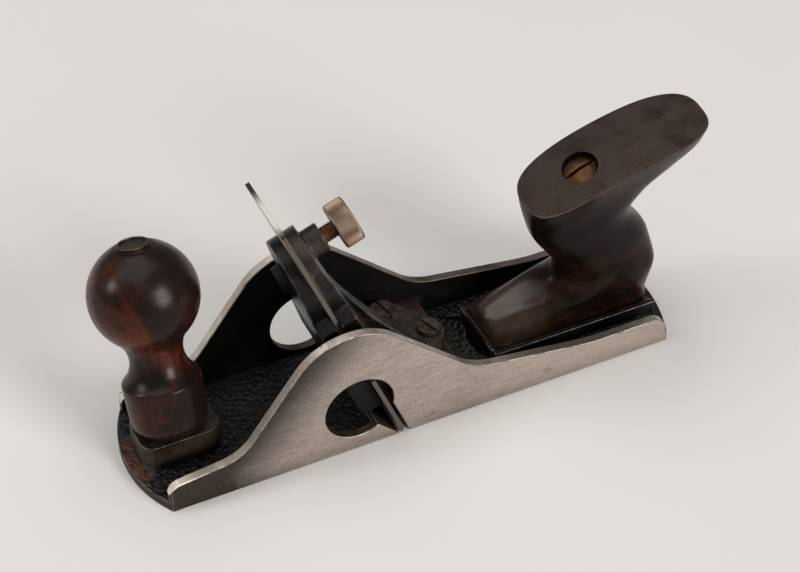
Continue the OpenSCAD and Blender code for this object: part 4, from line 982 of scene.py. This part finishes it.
TOP_FACE, EDGE_FACE = 1, 2
LOWEST_TOP, RIM_DEPTH = 60.0, 0.6
handle_bm = grid_mesh(handle_rows())
handle_bm.normal_update()
for face in handle_bm.faces:
    middle = face.calc_center_median()
    up = Vector((middle.x - CROWN_CENTRE[0], 0, middle.z - CROWN_CENTRE[1])).normalized()
    facing_up = face.normal.dot(up)
    if middle.z > LOWEST_TOP and crown_at(middle.x) - middle.z < RIM_DEPTH and facing_up > 0.3:
        face.material_index = TOP_FACE if facing_up > 0.97 else EDGE_FACE
ROD_CUT_END, RING_BELOW_TOP, NUT_CUT_END = -70.0, -1.0, 6.0
barrel_radius, barrel_depth = BARREL_HOLE
rod_profile = [(0, ROD_CUT_END), (ROD_HOLE, ROD_CUT_END), (ROD_HOLE, -barrel_depth),
               (barrel_radius, -barrel_depth), (barrel_radius, -NUT_SINK), (NUT_HOLE, -NUT_SINK),
               (NUT_HOLE, RING_BELOW_TOP), (NUT_HOLE, NUT_CUT_END), (0, NUT_CUT_END)]
rod_cut = moved(grid_mesh(lathe(rod_profile, 64)), TO_METRES @ TOTE_FRAME @ ROD_FRAME)
handle_bm = moved(handle_bm, TO_METRES @ TOTE_FRAME)
tote_cut = fork_hollow(TOTE_FORK, TOTE_AXIS, TOTE_SEAT, TOTE_FRAME)
handle_mesh = carved(handle_bm, [rod_cut, tote_cut], "tote")
shade(handle_mesh, 40)
add_piece("tote", handle_mesh, "handle", "handle_wood", [handle_wood, handle_top_wood, handle_edge_wood],
          "rear_handle")
eased("handle_nut", "tote_nut", "handle_top_nut", "old_brass", [brass], width=0.18)

# Hidden rods and cross nuts keep their CAD shape
for hidden in ("knob_rod", "knob_pivot_nut", "handle_rod", "handle_pivot_nut"):
    mesh = nodes[hidden].data
    mesh.materials.clear()
    mesh.materials.append(rusty)

# Floor, light and camera
FLOOR_TONES = ((0.58, 0.566, 0.552), (0.62, 0.606, 0.592))
FLOOR_SIZE, FLOOR_DROP = 60.0, 0.05 * MM
floor_look = Look("floor", Roughness=1.0, Specular_IOR_Level=0.0)
floor_look.set("Base Color", floor_look.mix(floor_look.noise(0.006, 3, 0.5), *FLOOR_TONES))
bpy.ops.mesh.primitive_plane_add(size=FLOOR_SIZE, location=(0, 0, -FLOOR_DROP))
floor = bpy.context.object
floor.name = "floor"
floor.data.materials.append(floor_look.material)

scene.view_settings.view_transform = "Standard"
world = bpy.data.worlds.new("studio")
world.use_nodes = True
background = world.node_tree.nodes["Background"]
background.inputs["Color"].default_value = (0.62, 0.615, 0.61, 1.0)
background.inputs["Strength"].default_value = 0.4
scene.world = world


def add_light(name, place, target, width, height, watts, tint=(1.0, 0.985, 0.965)):
    """A rectangular lamp. Places and sizes are in metres."""
    data = bpy.data.lights.new(name, "AREA")
    data.shape, data.size, data.size_y, data.energy, data.color = "RECTANGLE", width, height, watts, tint
    light = bpy.data.objects.new(name, data)
    light.location = place
    light.rotation_euler = (Vector(target) - Vector(place)).to_track_quat("-Z", "Y").to_euler()
    scene.collection.objects.link(light)


add_light("window", (1.5, -3.2, 1.65), (0, 0, 0.03), 1.6, 2.2, 140.0)
add_light("overhead", (-0.4, 0.6, 3.0), (0, 0, 0), 3.4, 3.4, 72.0)
add_light("side", (-1.2, 0.25, 0.75), (0, 0, 0.03), 0.3, 0.4, 4.5)

CAMERA_PLACE, CAMERA_TARGET, CAMERA_ROLL = (-216.628, -461.586, 506.400), (1.415, 0.0, 42.928), -0.42
LENS = 90.86
camera_data = bpy.data.cameras.new("camera")
camera_data.sensor_width, camera_data.lens = 36.0, LENS
camera_data.clip_start, camera_data.clip_end = 0.01, 50.0
camera = bpy.data.objects.new("camera", camera_data)
aim = (Vector(CAMERA_TARGET) - Vector(CAMERA_PLACE)).to_track_quat("-Z", "Y").to_matrix().to_4x4()
camera.matrix_world = (Matrix.Translation(Vector(CAMERA_PLACE) * MM) @ aim
                       @ Matrix.Rotation(math.radians(CAMERA_ROLL), 4, "Z"))
scene.collection.objects.link(camera)
scene.camera = camera
